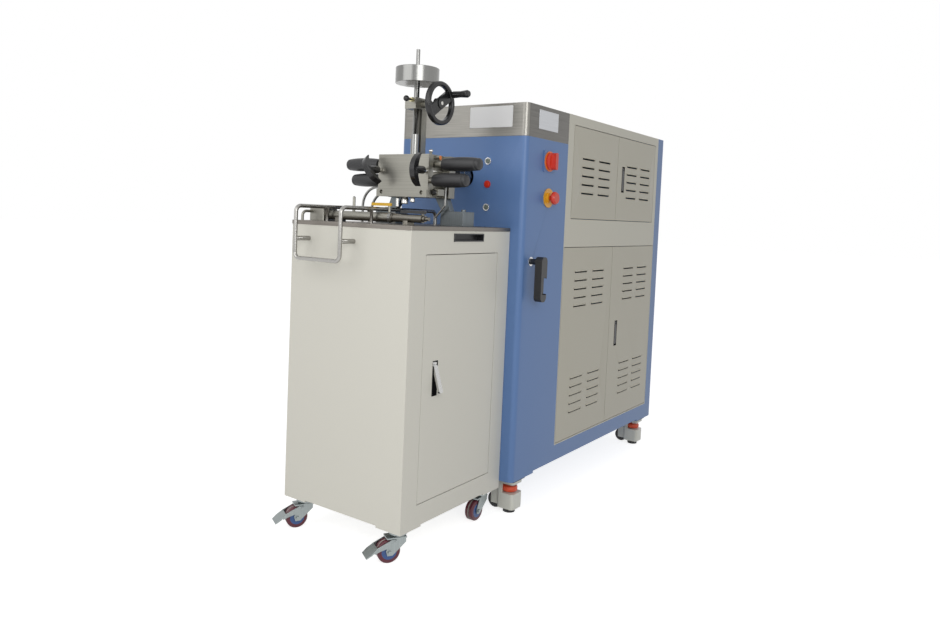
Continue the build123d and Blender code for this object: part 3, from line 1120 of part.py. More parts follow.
def lock_knob():
    """Ball knob on the screw that clamps the ram."""
    ball = Pos(0, HEAD_FRONT - KNOB_STAND, KNOB_Z) * Sphere(KNOB_RADIUS)
    screw = bar("Y", (0, KNOB_Z), KNOB_SCREW, HEAD_FRONT - KNOB_STAND, RAM_Y - RAM_RADIUS - 0.3)
    nut = extrude(RegularPolygon(6.5, 6), 5)
    return ball + screw + Pos(0, HEAD_FRONT - 0.3, KNOB_Z) * Rot(90, 0, 0) * nut


def rack_cuts():
    """Tooth gaps down the back of the ram rod."""
    pitch = math.pi * GEAR_MODULE
    root = RACK_PITCH_LINE - 1.25 * GEAR_MODULE
    gaps = []
    for tooth in range(RACK_TEETH):
        z = RACK_START + tooth * pitch
        half_root = pitch / 4 + BACKLASH / 2 - 1.25 * GEAR_MODULE * math.tan(math.radians(20))
        half_tip = pitch / 4 + BACKLASH / 2 + (GEAR_MODULE + 1) * math.tan(math.radians(20))
        points = [(root, z - half_root), (root, z + half_root),
                  (RACK_FACE + 1, z + half_tip), (RACK_FACE + 1, z - half_tip)]
        gaps.append(prism(Plane.YZ.offset(-RAM_RADIUS), points, 2 * RAM_RADIUS))
    return gaps


def ram_rod():
    """Top rod, rack and plunger, turned as one bar, with the weight on its shoulder."""
    rod = bar("Z", (0, RAM_Y), RAM_RADIUS, PLUNGER_TOP, WEIGHT_SEAT)
    top = bar("Z", (0, RAM_Y), TOP_ROD_RADIUS, WEIGHT_SEAT, RAM_TOP)
    plunger = bar("Z", (0, RAM_Y), PLUNGER_RADIUS, PLUNGER_BOTTOM, PLUNGER_TOP)
    rack_top = RACK_START + RACK_TEETH * math.pi * GEAR_MODULE
    rod -= block((-RAM_RADIUS, RAM_RADIUS), (RACK_FACE, RAM_Y + RAM_RADIUS + 1), (PLUNGER_TOP, rack_top))
    for gap in rack_cuts():
        rod -= gap
    weight = bar("Z", (0, RAM_Y), WEIGHT_RADIUS, WEIGHT_SEAT, WEIGHT_SEAT + WEIGHT_THICK)
    weight = chamfer(weight.edges(), 1)
    weight -= bar("Z", (0, RAM_Y), TOP_ROD_RADIUS, WEIGHT_SEAT - 1, WEIGHT_SEAT + WEIGHT_THICK + 1)
    return Compound([rod + top + plunger, weight])


def pinion_section():
    """Gear outline with straight flanks, thinned for backlash."""
    tip = PITCH_RADIUS + GEAR_MODULE * 0.9
    root = PITCH_RADIUS - 1.25 * GEAR_MODULE
    step = 2 * math.pi / PINION_TEETH
    thin = BACKLASH / PITCH_RADIUS / 2
    points = []
    for tooth in range(PINION_TEETH):
        middle = tooth * step
        for radius, half in ((root, 0.36 * step - thin), (PITCH_RADIUS, 0.25 * step - thin),
                             (tip, 0.13 * step - thin / 2)):
            points.append((radius, middle - half))
        for radius, half in ((tip, 0.13 * step - thin / 2), (PITCH_RADIUS, 0.25 * step - thin),
                             (root, 0.36 * step - thin)):
            points.append((radius, middle + half))
    return [(radius * math.cos(angle), radius * math.sin(angle)) for radius, angle in points]


def handwheel():
    """Dished two-arm wheel on the pinion shaft."""
    hub_x = HANDWHEEL_X
    spot = (PINION_Y, PINION_Z)
    inner = HANDWHEEL_RADIUS - RIM_WIDTH
    section = Pos(0, HANDWHEEL_RADIUS - RIM_WIDTH / 2) * RectangleRounded(RIM_DEPTH, RIM_WIDTH, 5)
    rim = Pos(hub_x, *spot) * revolve(section, Axis.X)
    arm = block((-WEB_THICK / 2, WEB_THICK / 2), (-inner - 3, inner + 3), (-WEB_HALF, WEB_HALF))
    arm = Pos(hub_x, *spot) * Rot(CRANK_ANGLE, 0, 0) * arm
    hub = bar("X", spot, 15, hub_x - 14, hub_x + 7)
    hub -= bar("X", spot, PINION_SHAFT, hub_x - 15, hub_x + 8)
    crank_y = spot[0] + CRANK_RADIUS * math.cos(math.radians(CRANK_ANGLE))
    crank_z = spot[1] + CRANK_RADIUS * math.sin(math.radians(CRANK_ANGLE))
    wheel = rim + (arm - bar("X", spot, PINION_SHAFT, hub_x - 15, hub_x + 8)) + hub
    wheel += bar("X", (crank_y, crank_z), CRANK_PIN, hub_x, hub_x + 3 + CRANK_LENGTH)
    shaft = bar("X", spot, PINION_SHAFT, -PINION_WIDTH / 2 - 8, hub_x + 8)
    gear = prism(Plane.YZ.offset(-PINION_WIDTH / 2), pinion_section(), PINION_WIDTH)
    gear = Pos(0, *spot) * Rot(PINION_PHASE, 0, 0) * gear
    return Compound([wheel, shaft + gear])


def pinion_phase():
    """Turn that puts a tooth into the rack gap nearest the pinion's height."""
    pitch = math.pi * GEAR_MODULE
    nearest = round((PINION_Z - RACK_START) / pitch)
    offset = RACK_START + nearest * pitch - PINION_Z
    return 180.0 - math.degrees(offset / PITCH_RADIUS)


PINION_PHASE = pinion_phase()


def crank_grip():
    crank_y = PINION_Y + CRANK_RADIUS * math.cos(math.radians(CRANK_ANGLE))
    crank_z = PINION_Z + CRANK_RADIUS * math.sin(math.radians(CRANK_ANGLE))
    start = HANDWHEEL_X + 8.5
    grip = turned("X", (crank_y, crank_z), start,
                  [(8, 0), (10, 6), (9, 30), (11, CRANK_LENGTH - 6), (8, CRANK_LENGTH)])
    return grip - bar("X", (crank_y, crank_z), CRANK_PIN + RUNNING_CLEARANCE,
                      start - 1, start + CRANK_LENGTH - 3)


def hoses():
    """Two cooling hoses and the heater cable, each held at both ends."""
    y = REAR_FRONT + REAR_DEPTH / 2
    pieces = []
    for drop, out, lane in (UPPER_HOSE, LOWER_HOSE):
        z = AXIS_HEIGHT + drop
        x = -REAR_HALF + out
        route = [(-REAR_HALF, y + lane, z), (x, y + lane, z), (x, y + lane, TABLE_TOP)]
        pieces.append(tube(route, HOSE_RADIUS, HOSE_BEND))
    y = REAR_FRONT - CABLE_OUT
    x, drop = CABLE_TOP
    z = AXIS_HEIGHT - drop
    foot, rise = CABLE_FOOT
    bend = z - CABLE_DROP
    route = [(x, REAR_FRONT, z), (x, y, z), (x, y, bend), (foot, y, TABLE_TOP + rise), (foot, y, TABLE_TOP)]
    pieces.append(tube(route, CABLE_RADIUS, 4))
    return Compound(pieces)


NODES = {
    "cabinet_shell": cabinet_shell(),
    "top_band": top_band(),
    "cream_frame": cream_frame(),
    "drive_bed": drive_bed(),
    "drive_unit": drive_unit(),
    "drive_shaft": drive_shaft(),
    "panel_fittings": panel_fittings(),
    "start_button": button(0),
    "stop_button": button(1),
    "reset_button": button(2),
    "main_switch": main_switch(),
    "emergency_stop": emergency_stop(),
    "docking_lever": docking_lever(),
    "upper_front_door": cabinet_door("upper_front_door", UPPER_ROWS, None),
    "upper_rear_door": cabinet_door("upper_rear_door", UPPER_ROWS, UPPER_LOCK),
    "lower_front_door": cabinet_door("lower_front_door", LOWER_ROWS, None),
    "lower_rear_door": cabinet_door("lower_rear_door", LOWER_ROWS, LOWER_LOCK),
    "upper_lock_lever": lock_lever(CAB_HALF, *UPPER_LOCK),
    "lower_lock_lever": lock_lever(CAB_HALF, *LOWER_LOCK),
    "leveller_housings": Compound([leveller_housing(corner) for corner in LEVELLERS]),
    "trolley_body": trolley_body(),
    "trolley_top": trolley_top(),
    "trolley_door": trolley_door(),
    "trolley_lock_lever": lock_lever(TROLLEY_RIGHT, *TROLLEY_LOCK, LOCK_POP),
    "guard_rails": guard_rails(),
    "cylinder": cylinder(),
    "mixer_stand": mixer_stand(),
    "mixer_rear": mixer_rear(),
    "mixing_chamber": mixing_chamber(),
    "chamber_grips": chamber_grips(),
    "front_plate": front_plate(),
    "front_grip": grip("X", LOWER_GRIP_START, LOWER_GRIP_END, LOWER_GRIP_Y, LOWER_GRIP_Z),
    "left_bow_handle": bow_handle(-1, WING_TILT),
    "right_bow_handle": bow_handle(1, 0),
    "left_rotor": rotor(-1),
    "right_rotor": rotor(1),
    "ram_column": ram_column(),
    "ram_rod": ram_rod(),
    "handwheel": handwheel(),
    "crank_grip": crank_grip(),
    "lock_knob": lock_knob(),
    "hoses": hoses(),
}
for corner in LEVELLERS:
    NODES["leveller_wheel_" + corner] = leveller_wheel(corner)
    NODES["leveller_foot_" + corner] = leveller_foot(corner)
for corner in CASTERS:
    NODES["caster_fork_" + corner] = caster_fork(corner)
    NODES["caster_wheel_" + corner] = caster_wheel(corner)
for corner in ("front_left", "front_right"):
    NODES["brake_pedal_" + corner] = brake_pedal(corner)

for name, shape in NODES.items():
    export_step(shape, os.path.join("parts", name + ".step"))
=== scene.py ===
import json
import math
import bmesh
import bpy
import numpy as np
from mathutils import Matrix, Vector

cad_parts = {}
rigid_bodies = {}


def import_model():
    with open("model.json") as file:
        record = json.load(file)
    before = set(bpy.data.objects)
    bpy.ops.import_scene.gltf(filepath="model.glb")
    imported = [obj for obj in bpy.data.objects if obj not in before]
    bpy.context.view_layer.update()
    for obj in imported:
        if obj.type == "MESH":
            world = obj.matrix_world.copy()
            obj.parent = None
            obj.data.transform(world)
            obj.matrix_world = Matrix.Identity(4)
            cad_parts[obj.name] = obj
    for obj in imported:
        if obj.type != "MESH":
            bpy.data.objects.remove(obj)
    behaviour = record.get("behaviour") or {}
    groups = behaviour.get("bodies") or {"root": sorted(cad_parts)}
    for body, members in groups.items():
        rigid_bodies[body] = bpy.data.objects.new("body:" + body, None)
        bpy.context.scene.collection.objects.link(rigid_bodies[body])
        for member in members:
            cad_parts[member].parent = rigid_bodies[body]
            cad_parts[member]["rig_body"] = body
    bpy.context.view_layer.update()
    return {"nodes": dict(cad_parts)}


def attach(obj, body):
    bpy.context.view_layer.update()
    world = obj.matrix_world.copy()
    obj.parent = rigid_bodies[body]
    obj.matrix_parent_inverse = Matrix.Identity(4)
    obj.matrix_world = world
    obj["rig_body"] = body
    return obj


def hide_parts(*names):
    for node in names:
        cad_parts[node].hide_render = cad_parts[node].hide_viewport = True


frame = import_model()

# The cabinet's casing: folded steel sheet with rounded front corners, powder coated in
# blue. Its edges are broken by the coat, and the coat has a fine orange peel.

BLUE = (0.112, 0.215, 0.455)
SHEET_EDGE = 0.0012


def copied(node, edge):
    """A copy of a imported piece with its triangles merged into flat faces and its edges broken."""
    mesh = frame["nodes"][node].data.copy()
    mesh.materials.clear()
    bm = bmesh.new()
    bm.from_mesh(mesh)
    bmesh.ops.remove_doubles(bm, verts=bm.verts, dist=2e-6)
    bmesh.ops.dissolve_limit(bm, angle_limit=0.004, verts=bm.verts, edges=bm.edges)
    bm.to_mesh(mesh)
    bm.free()
    mesh.shade_smooth()
    mesh.set_sharp_from_angle(angle=math.radians(32))
    piece = bpy.data.objects.new(node + "_dressed", mesh)
    bpy.context.scene.collection.objects.link(piece)
    if edge:
        bevel = piece.modifiers.new("edge", "BEVEL")
        bevel.width = edge
        bevel.segments = 2
        bevel.limit_method = "ANGLE"
        bevel.angle_limit = math.radians(38)
        bevel.harden_normals = True
    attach(piece, frame["nodes"][node]["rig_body"])
    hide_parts(node)
    return piece


def finished(piece, material, where=None):
    """Gives a material to the whole piece, or to the faces all of whose corners meet a condition."""
    mesh = piece.data
    mesh.materials.append(material)
    if where is None:
        return piece
    places = np.empty(len(mesh.vertices) * 3)
    mesh.vertices.foreach_get("co", places)
    meets = where(*places.reshape(-1, 3).T)
    corners = np.empty(len(mesh.loops), dtype=np.int32)
    mesh.loops.foreach_get("vertex_index", corners)
    starts = np.empty(len(mesh.polygons), dtype=np.int32)
    mesh.polygons.foreach_get("loop_start", starts)
    index = np.empty(len(mesh.polygons), dtype=np.int32)
    mesh.polygons.foreach_get("material_index", index)
    index[np.logical_and.reduceat(meets[corners], starts)] = len(mesh.materials) - 1
    mesh.polygons.foreach_set("material_index", index)
    return piece


def coat(name, colour, rough=0.38, peel=0.10, grain=700.0):
    """Stove enamel: one colour under a fine orange peel from noise on Object coordinates."""
    material = bpy.data.materials.new(name)
    material.use_nodes = True
    nodes, links = material.node_tree.nodes, material.node_tree.links
    shader = nodes["Principled BSDF"]
    shader.inputs["Base Color"].default_value = (*colour, 1.0)
    shader.inputs["Roughness"].default_value = rough
    place = nodes.new("ShaderNodeTexCoord")
    noise = nodes.new("ShaderNodeTexNoise")
    noise.inputs["Scale"].default_value = grain
    noise.inputs["Detail"].default_value = 2.0
    bump = nodes.new("ShaderNodeBump")
    bump.inputs["Strength"].default_value = peel
    bump.inputs["Distance"].default_value = 0.0004
    links.new(place.outputs["Object"], noise.inputs["Vector"])
    links.new(noise.outputs["Fac"], bump.inputs["Height"])
    links.new(bump.outputs["Normal"], shader.inputs["Normal"])
    return material


blue_coat = coat("blue enamel", BLUE)
finished(copied("cabinet_shell", SHEET_EDGE), blue_coat)

# The cap band round the top of the front: stainless sheet, brushed along its length,
# folded down over the blue casing. Its sides are the same steel made darker, as painted shade.

BAND_STEEL = (0.25, 0.242, 0.222)
BAND_SIDE_STEEL_IN_PAINTED_SHADE = (0.16, 0.155, 0.145)
BAND_SIDE_X = 0.2395


def brushed(name, colour, along, rough=0.34, contrast=0.22, metallic=1.0):
    """Brushed metal: noise drawn out along one axis varies the colour and the roughness."""
    material = bpy.data.materials.new(name)
    material.use_nodes = True
    nodes, links = material.node_tree.nodes, material.node_tree.links
    shader = nodes["Principled BSDF"]
    shader.inputs["Metallic"].default_value = metallic
    place = nodes.new("ShaderNodeTexCoord")
    stretch = nodes.new("ShaderNodeMapping")
    stretch.inputs["Scale"].default_value = [8.0 if axis == along else 900.0 for axis in "XYZ"]
    noise = nodes.new("ShaderNodeTexNoise")
    noise.inputs["Scale"].default_value = 1.0
    noise.inputs["Detail"].default_value = 4.0
    tone = nodes.new("ShaderNodeValToRGB")
    low = [channel * (1 - contrast) for channel in colour]
    high = [min(1.0, channel * (1 + contrast)) for channel in colour]
    tone.color_ramp.elements[0].position = 0.3
    tone.color_ramp.elements[0].color = (*low, 1.0)
    tone.color_ramp.elements[1].position = 0.7
    tone.color_ramp.elements[1].color = (*high, 1.0)
    spread = nodes.new("ShaderNodeMapRange")
    spread.inputs["To Min"].default_value = rough - 0.08
    spread.inputs["To Max"].default_value = rough + 0.10
    links.new(place.outputs["Object"], stretch.inputs["Vector"])
    links.new(stretch.outputs["Vector"], noise.inputs["Vector"])
    links.new(noise.outputs["Fac"], tone.inputs["Fac"])
    links.new(tone.outputs["Color"], shader.inputs["Base Color"])
    links.new(noise.outputs["Fac"], spread.inputs["Value"])
    links.new(spread.outputs["Result"], shader.inputs["Roughness"])
    return material


band = finished(copied("top_band", SHEET_EDGE), brushed("brushed band", BAND_STEEL, "X"))
# Painted shade: the band's sides get a darker copy of its brushed steel.
finished(band, brushed("brushed band, sides in painted shade", BAND_SIDE_STEEL_IN_PAINTED_SHADE, "Y"), lambda x, y, z: abs(x) > BAND_SIDE_X)

# The door frame and its four louvred doors: folded sheet in warm white enamel, each door
# on two pins, with rows of pressed louvres. The doors' enamel is made darker than the frame's, as painted
# shade.

CREAM = (0.62, 0.60, 0.51)
CREAM_DOOR_IN_PAINTED_SHADE = (0.53, 0.505, 0.415)

cream_coat = coat("warm white enamel", CREAM)
painted_shade_door_coat = coat("warm white door enamel in painted shade", CREAM_DOOR_IN_PAINTED_SHADE)
finished(copied("cream_frame", SHEET_EDGE), cream_coat)
black_satin = coat("black satin plastic", (0.018, 0.018, 0.020), rough=0.36, peel=0.05)
lock_steel = brushed("lock steel", (0.55, 0.55, 0.54), "Z", rough=0.28, contrast=0.1)
CUP_HALF_WIDE, CUP_HALF_TALL = 0.0135, 0.0495
LOCKS = {"upper_rear_door": (0.706, 1.072), "lower_rear_door": (0.708, 0.498),
         "trolley_door": (-0.346, 0.479)}


def dressed_door(name, enamel):
    """An enamelled door whose lock cup, if it has one, is black."""
    door = finished(copied(name, 0.0006), enamel)
    if name in LOCKS:
        lock_y, lock_z = LOCKS[name]
        finished(door, black_satin, lambda x, y, z: (abs(y - lock_y) < CUP_HALF_WIDE)
                 & (abs(z - lock_z) < CUP_HALF_TALL))
    return door


for door in ("upper_front_door", "upper_rear_door", "lower_front_door", "lower_rear_door"):
    # Painted shade: the four doors get the darker copy of the frame's enamel.
    dressed_door(door, painted_shade_door_coat)

# The swing locks: a lever on a cross pin in the black cup of its door. Two are black, and
# the trolley's is grey metal with a black end.

POPPED_END_Z = 0.456

for lever in ("upper_lock_lever", "lower_lock_lever"):
    finished(copied(lever, 0.0006), black_satin)
popped = finished(copied("trolley_lock_lever", 0.0006), lock_steel)
finished(popped, black_satin, lambda x, y, z: z < POPPED_END_Z)

# The panel fittings: chromed button bezels, two bare plates, a yellow ring under the
# emergency stop, and an orange rim on a blue plate under the main switch.

BUTTON_ROW_X = 0.108
STOP_BUTTON_Z = 1.0135
BUTTON_REACH = 0.014
SWITCH_Z = 1.093
SWITCH_REACH = 0.034
SWITCH_PLATE_FACE = 0.24405
SIDE_FITTINGS_X = 0.2
YELLOW_RING_BOTTOM, YELLOW_RING_TOP = 0.9, 1.15
PLATES_Z = 1.18

chrome = brushed("bright chrome", (0.62, 0.62, 0.62), "Z", rough=0.20, contrast=0.06)
fittings = copied("panel_fittings", 0.0004)
finished(fittings, chrome)
plate_white = coat("white plate", (0.82, 0.82, 0.82), rough=0.3, peel=0.0)
plate_silver = brushed("silver plate", (0.52, 0.53, 0.55), "Y", rough=0.4, contrast=0.08)
signal_yellow = coat("signal yellow", (0.83, 0.42, 0.02), rough=0.3, peel=0.0)
signal_red = coat("signal red", (0.68, 0.035, 0.012), rough=0.3, peel=0.0)
finished(fittings, plate_white, lambda x, y, z: (y < 0.001) & (z > PLATES_Z) & (x < SIDE_FITTINGS_X))
finished(fittings, plate_silver, lambda x, y, z: (x > SIDE_FITTINGS_X) & (z > PLATES_Z))
finished(fittings, signal_yellow, lambda x, y, z: (x > SIDE_FITTINGS_X)
         & (z < YELLOW_RING_TOP) & (z > YELLOW_RING_BOTTOM))
switch_orange = coat("switch rim", (0.86, 0.20, 0.015), rough=0.3, peel=0.0)
finished(fittings, switch_orange, lambda x, y, z: (x > SIDE_FITTINGS_X)
         & (abs(z - SWITCH_Z) < SWITCH_REACH))
finished(fittings, signal_red, lambda x, y, z: (abs(x - BUTTON_ROW_X) < BUTTON_REACH)
         & (abs(z - STOP_BUTTON_Z) < BUTTON_REACH) & (y < 0.001))
finished(fittings, blue_coat, lambda x, y, z: (x > SIDE_FITTINGS_X)
         & (abs(z - SWITCH_Z) < SWITCH_REACH) & (x < SWITCH_PLATE_FACE))
finished(copied("main_switch", 0.0008), signal_red)
finished(copied("emergency_stop", 0.0008), signal_red)
green_cap = coat("grey green button", (0.16, 0.19, 0.165), rough=0.3, peel=0.0)
finished(copied("start_button", 0.0), green_cap)
finished(copied("stop_button", 0.0), signal_red)
finished(copied("reset_button", 0.0), green_cap)

# The docking lever: a black moulded arm with a finger recess, pressed on a steel stub
# that turns in the side of the cabinet.

STUB_END_X = 0.2575

arm = finished(copied("docking_lever", 0.0012), black_satin)
finished(arm, lock_steel, lambda x, y, z: x < STUB_END_X)

# The levelling casters: moulded ivory bodies with a dark socket on top, red thumbwheels
# on steel screws, and black pads and wheels.

SOCKET_Z = 0.1025
PAD_TOP = 0.024
THUMBWHEEL_BOTTOM, THUMBWHEEL_TOP = 0.0655, 0.0825

ivory = coat("ivory moulding", (0.78, 0.78, 0.70), rough=0.35, peel=0.03)
tyre_black = coat("black tread", (0.015, 0.015, 0.016), rough=0.55, peel=0.1)
thumb_red = coat("thumbwheel red", (0.78, 0.09, 0.03), rough=0.35, peel=0.0)
housings = finished(copied("leveller_housings", 0.0015), ivory)
dark_iron = coat("dark iron", (0.02, 0.02, 0.022), rough=0.5, peel=0.0)
finished(housings, dark_iron, lambda x, y, z: z > SOCKET_Z)
for corner in ("front_left", "front_right", "rear_left", "rear_right"):
    finished(copied("leveller_wheel_" + corner, 0.0008), tyre_black)
    foot = finished(copied("leveller_foot_" + corner, 0.0006), lock_steel)
    finished(foot, tyre_black, lambda x, y, z: z < PAD_TOP)
    finished(foot, thumb_red, lambda x, y, z: (z > THUMBWHEEL_BOTTOM) & (z < THUMBWHEEL_TOP))

# The drive inside: a welded stand, the switchgear on its panel, and the motor, reduction
# gear and torque sensor in line on top.

machine_grey = coat("machine grey", (0.13, 0.14, 0.15), rough=0.45, peel=0.1)
finished(copied("drive_bed", 0.001), machine_grey)
finished(copied("drive_unit", 0.001), machine_grey)
ground_steel = brushed("ground steel", (0.265, 0.258, 0.228), "X", rough=0.36, contrast=0.12)
turned_steel = brushed("turned steel", (0.24, 0.24, 0.232), "Z", rough=0.22, contrast=0.10)
finished(copied("drive_shaft", 0.0008), turned_steel)

# The trolley: a sheet steel cupboard in warm white, folded and welded, with a black pull
# tray let into its side and a steel table screwed on top. Its enamel is made paler than the cabinet's, as
# painted light for standing nearer the lamp.

TROLLEY_CREAM_WITH_PAINTED_LIGHT = (0.73, 0.712, 0.635)
TRAY_INNER_X = 0.12
TRAY_BOTTOM, TRAY_TOP = 0.8415, 0.8665
TRAY_FRONT, TRAY_REAR = -0.287, -0.140

# Painted light: the trolley's enamel is paler than the cabinet's because it stood nearer the light.
trolley_coat = coat("trolley enamel", TROLLEY_CREAM_WITH_PAINTED_LIGHT)
body = finished(copied("trolley_body", SHEET_EDGE), trolley_coat)
finished(body, black_satin, lambda x, y, z: (x > TRAY_INNER_X) & (z > TRAY_BOTTOM) & (z < TRAY_TOP)
         & (y < TRAY_REAR) & (y > TRAY_FRONT))
dressed_door("trolley_door", trolley_coat)
table_steel = brushed("table steel", (0.22, 0.202, 0.182), "X", rough=0.42, contrast=0.15)
finished(copied("trolley_top", 0.0008), table_steel)

# The swivel casters: forks and pedals pressed from zinc plated sheet, and wheels moulded
# in maroon on a blue hub, with a grey core between their two treads.

zinc = brushed("zinc plate", (0.30, 0.33, 0.33), "Z", rough=0.36, contrast=0.12)
WHEEL_TRAIL = 0.026
WHEEL_HEIGHT = 0.031
HUB_RADIUS = 0.0205
TREAD_MAROON = (0.115, 0.016, 0.03)
HUB_BLUE = (0.05, 0.11, 0.30)
CORE_GREY = (0.33, 0.31, 0.28)
CORE_HALF = 0.0022
SWIVELS = {"front_left": (-0.195, -0.424, -118.0), "front_right": (0.155, -0.424, -122.0),
           "rear_left": (-0.195, -0.043, -96.0), "rear_right": (0.155, -0.043, -90.0)}


def two_tone(name, hub, heading):
    """Wheel plastic: maroon tread, blue within a distance of the axle, grey on the middle plane.
    Object coordinates are moved to the hub and turned, so that Y runs along the axle."""
    material = coat(name, TREAD_MAROON, rough=0.4, peel=0.05)
    nodes, links = material.node_tree.nodes, material.node_tree.links
    place = nodes.new("ShaderNodeTexCoord")
    moved = nodes.new("ShaderNodeMapping")
    moved.vector_type = "TEXTURE"
    moved.inputs["Location"].default_value = hub
    moved.inputs["Rotation"].default_value = (0.0, 0.0, heading)
    parts = nodes.new("ShaderNodeSeparateXYZ")
    flat = nodes.new("ShaderNodeCombineXYZ")
    reach = nodes.new("ShaderNodeVectorMath")
    reach.operation = "LENGTH"
    links.new(place.outputs["Object"], moved.inputs["Vector"])
    links.new(moved.outputs["Vector"], parts.inputs["Vector"])
    links.new(parts.outputs["X"], flat.inputs["X"])
    links.new(parts.outputs["Z"], flat.inputs["Z"])
    links.new(flat.outputs["Vector"], reach.inputs[0])
    inner = nodes.new("ShaderNodeMath")
    inner.operation = "LESS_THAN"
    inner.inputs[1].default_value = HUB_RADIUS
    links.new(reach.outputs["Value"], inner.inputs[0])
    side = nodes.new("ShaderNodeMath")
    side.operation = "ABSOLUTE"
    middle = nodes.new("ShaderNodeMath")
    middle.operation = "LESS_THAN"
    middle.inputs[1].default_value = CORE_HALF
    links.new(parts.outputs["Y"], side.inputs[0])
    links.new(side.outputs["Value"], middle.inputs[0])
    hubbed = nodes.new("ShaderNodeMix")
    hubbed.data_type = "RGBA"
    hubbed.inputs[6].default_value = (*TREAD_MAROON, 1.0)
    hubbed.inputs[7].default_value = (*HUB_BLUE, 1.0)
    links.new(inner.outputs["Value"], hubbed.inputs[0])
    cored = nodes.new("ShaderNodeMix")
    cored.data_type = "RGBA"
    cored.inputs[7].default_value = (*CORE_GREY, 1.0)
    links.new(middle.outputs["Value"], cored.inputs[0])
    links.new(hubbed.outputs[2], cored.inputs[6])
    links.new(cored.outputs[2], nodes["Principled BSDF"].inputs["Base Color"])
    return material


def dressed_wheel(corner):
    """A wheel in its two-tone plastic, placed by its swivel, trail and heading."""
    post_x, post_y, heading = SWIVELS[corner]
    turn = math.radians(heading)
    hub = (post_x + WHEEL_TRAIL * math.cos(turn), post_y + WHEEL_TRAIL * math.sin(turn), WHEEL_HEIGHT)
    finished(copied("caster_wheel_" + corner, 0.0004), two_tone("wheel " + corner, hub, turn))


for corner in SWIVELS:
    finished(copied("caster_fork_" + corner, 0.0008), zinc)
    dressed_wheel(corner)
for corner in ("front_left", "front_right"):
    finished(copied("brake_pedal_" + corner, 0.0008), zinc)

# The guard rails and the cylinder across the table: bent bright tube, and a dark drawn
# tube with turned ends, a yellow lever and a black guard bar.

BLOCK_SIDE_X = -0.179
BLOCK_FRONT_Y = -0.4
BARREL_TOP = 0.9155
TRIM_BOTTOM = 0.915
COLLAR_X, COLLAR_HALF, COLLAR_BOTTOM = 0.051, 0.0055, 0.884
YELLOW_BOTTOM, YELLOW_TOP, YELLOW_START = 0.9315, 0.9405, -0.03
GUARD_START, GUARD_BOTTOM = 0.08, 0.9135

rail_steel = brushed("rail steel", (0.36, 0.352, 0.335), "Y", rough=0.24, contrast=0.08)
finished(copied("guard_rails", 0.0), rail_steel)
gun_steel = brushed("dark drawn tube", (0.17, 0.16, 0.14), "X", rough=0.26, contrast=0.2)
gate_yellow = coat("yellow lever", (0.72, 0.42, 0.02), rough=0.35, peel=0.02)
crossing = finished(copied("cylinder", 0.0008), ground_steel)
finished(crossing, gun_steel, lambda x, y, z: (x > BLOCK_SIDE_X) & (z < BARREL_TOP) & (y > BLOCK_FRONT_Y))
finished(crossing, turned_steel, lambda x, y, z: (z > TRIM_BOTTOM)
         | ((abs(x - COLLAR_X) < COLLAR_HALF) & (z > COLLAR_BOTTOM)))
finished(crossing, gate_yellow, lambda x, y, z: (z > YELLOW_BOTTOM) & (z < YELLOW_TOP) & (x > YELLOW_START))
finished(crossing, black_satin, lambda x, y, z: (x > GUARD_START) & (z > GUARD_BOTTOM))

# The mixer: ground steel plates drawn together by two black bow handles, standing on
# galvanised risers, with a bright knob and nipples and an orange plug in the chamber.

HANDLE_STUD_Y = -0.2855
CHAMBER_SIDE_X = 0.0885
PLUG_BOTTOM = 1.0655
NIPPLE_TOP, KNOB_BOTTOM = 0.9605, 1.0825
BOSS_TOP, BOSS_REAR = 0.99, -0.2492

galvanised = brushed("galvanised", (0.17, 0.19, 0.20), "Z", rough=0.45, contrast=0.15)
finished(copied("mixer_stand", 0.0008), galvanised)
finished(copied("mixer_rear", 0.0008), ground_steel)
chamber = finished(copied("mixing_chamber", 0.0008), ground_steel)
orange_plug = coat("orange plug", (0.80, 0.22, 0.02), rough=0.3, peel=0.0)
finished(chamber, orange_plug, lambda x, y, z: (x > CHAMBER_SIDE_X) & (z > PLUG_BOTTOM))
bright_nut = brushed("bright fitting", (0.62, 0.61, 0.58), "Z", rough=0.2, contrast=0.05)
finished(chamber, bright_nut, lambda x, y, z: (z < NIPPLE_TOP) | (z > KNOB_BOTTOM))
finished(chamber, black_satin, lambda x, y, z: (abs(x) > CHAMBER_SIDE_X) & (z < BOSS_TOP)
         & (y < BOSS_REAR))
finished(copied("front_plate", 0.0008), ground_steel)
gloss_black = coat("gloss black moulding", (0.010, 0.010, 0.011), rough=0.22, peel=0.0)
for handle in ("left_bow_handle", "right_bow_handle"):
    bow = finished(copied(handle, 0.0006), gloss_black)
    finished(bow, bright_nut, lambda x, y, z: y > HANDLE_STUD_Y)
finished(copied("left_rotor", 0.0), turned_steel)
finished(copied("right_rotor", 0.0), turned_steel)

# The grips: moulded rubber sleeves, fuller in the middle, with a groove before the end.
# Each is a skin turned about its spindle, and is pushed on.

GRIP_RADIUS = 0.020
UPPER_GRIP = (0.118, 0.244, -0.240, 1.055)
CHAMBER_LOWER_GRIP = (0.106, 0.220, -0.240, 1.009)
PLATE_LOWER_GRIP = (0.106, 0.220, -0.265, 1.009)
grip_rubber = coat("grip rubber", (0.020, 0.020, 0.022), rough=0.42, peel=0.12, grain=1400.0)


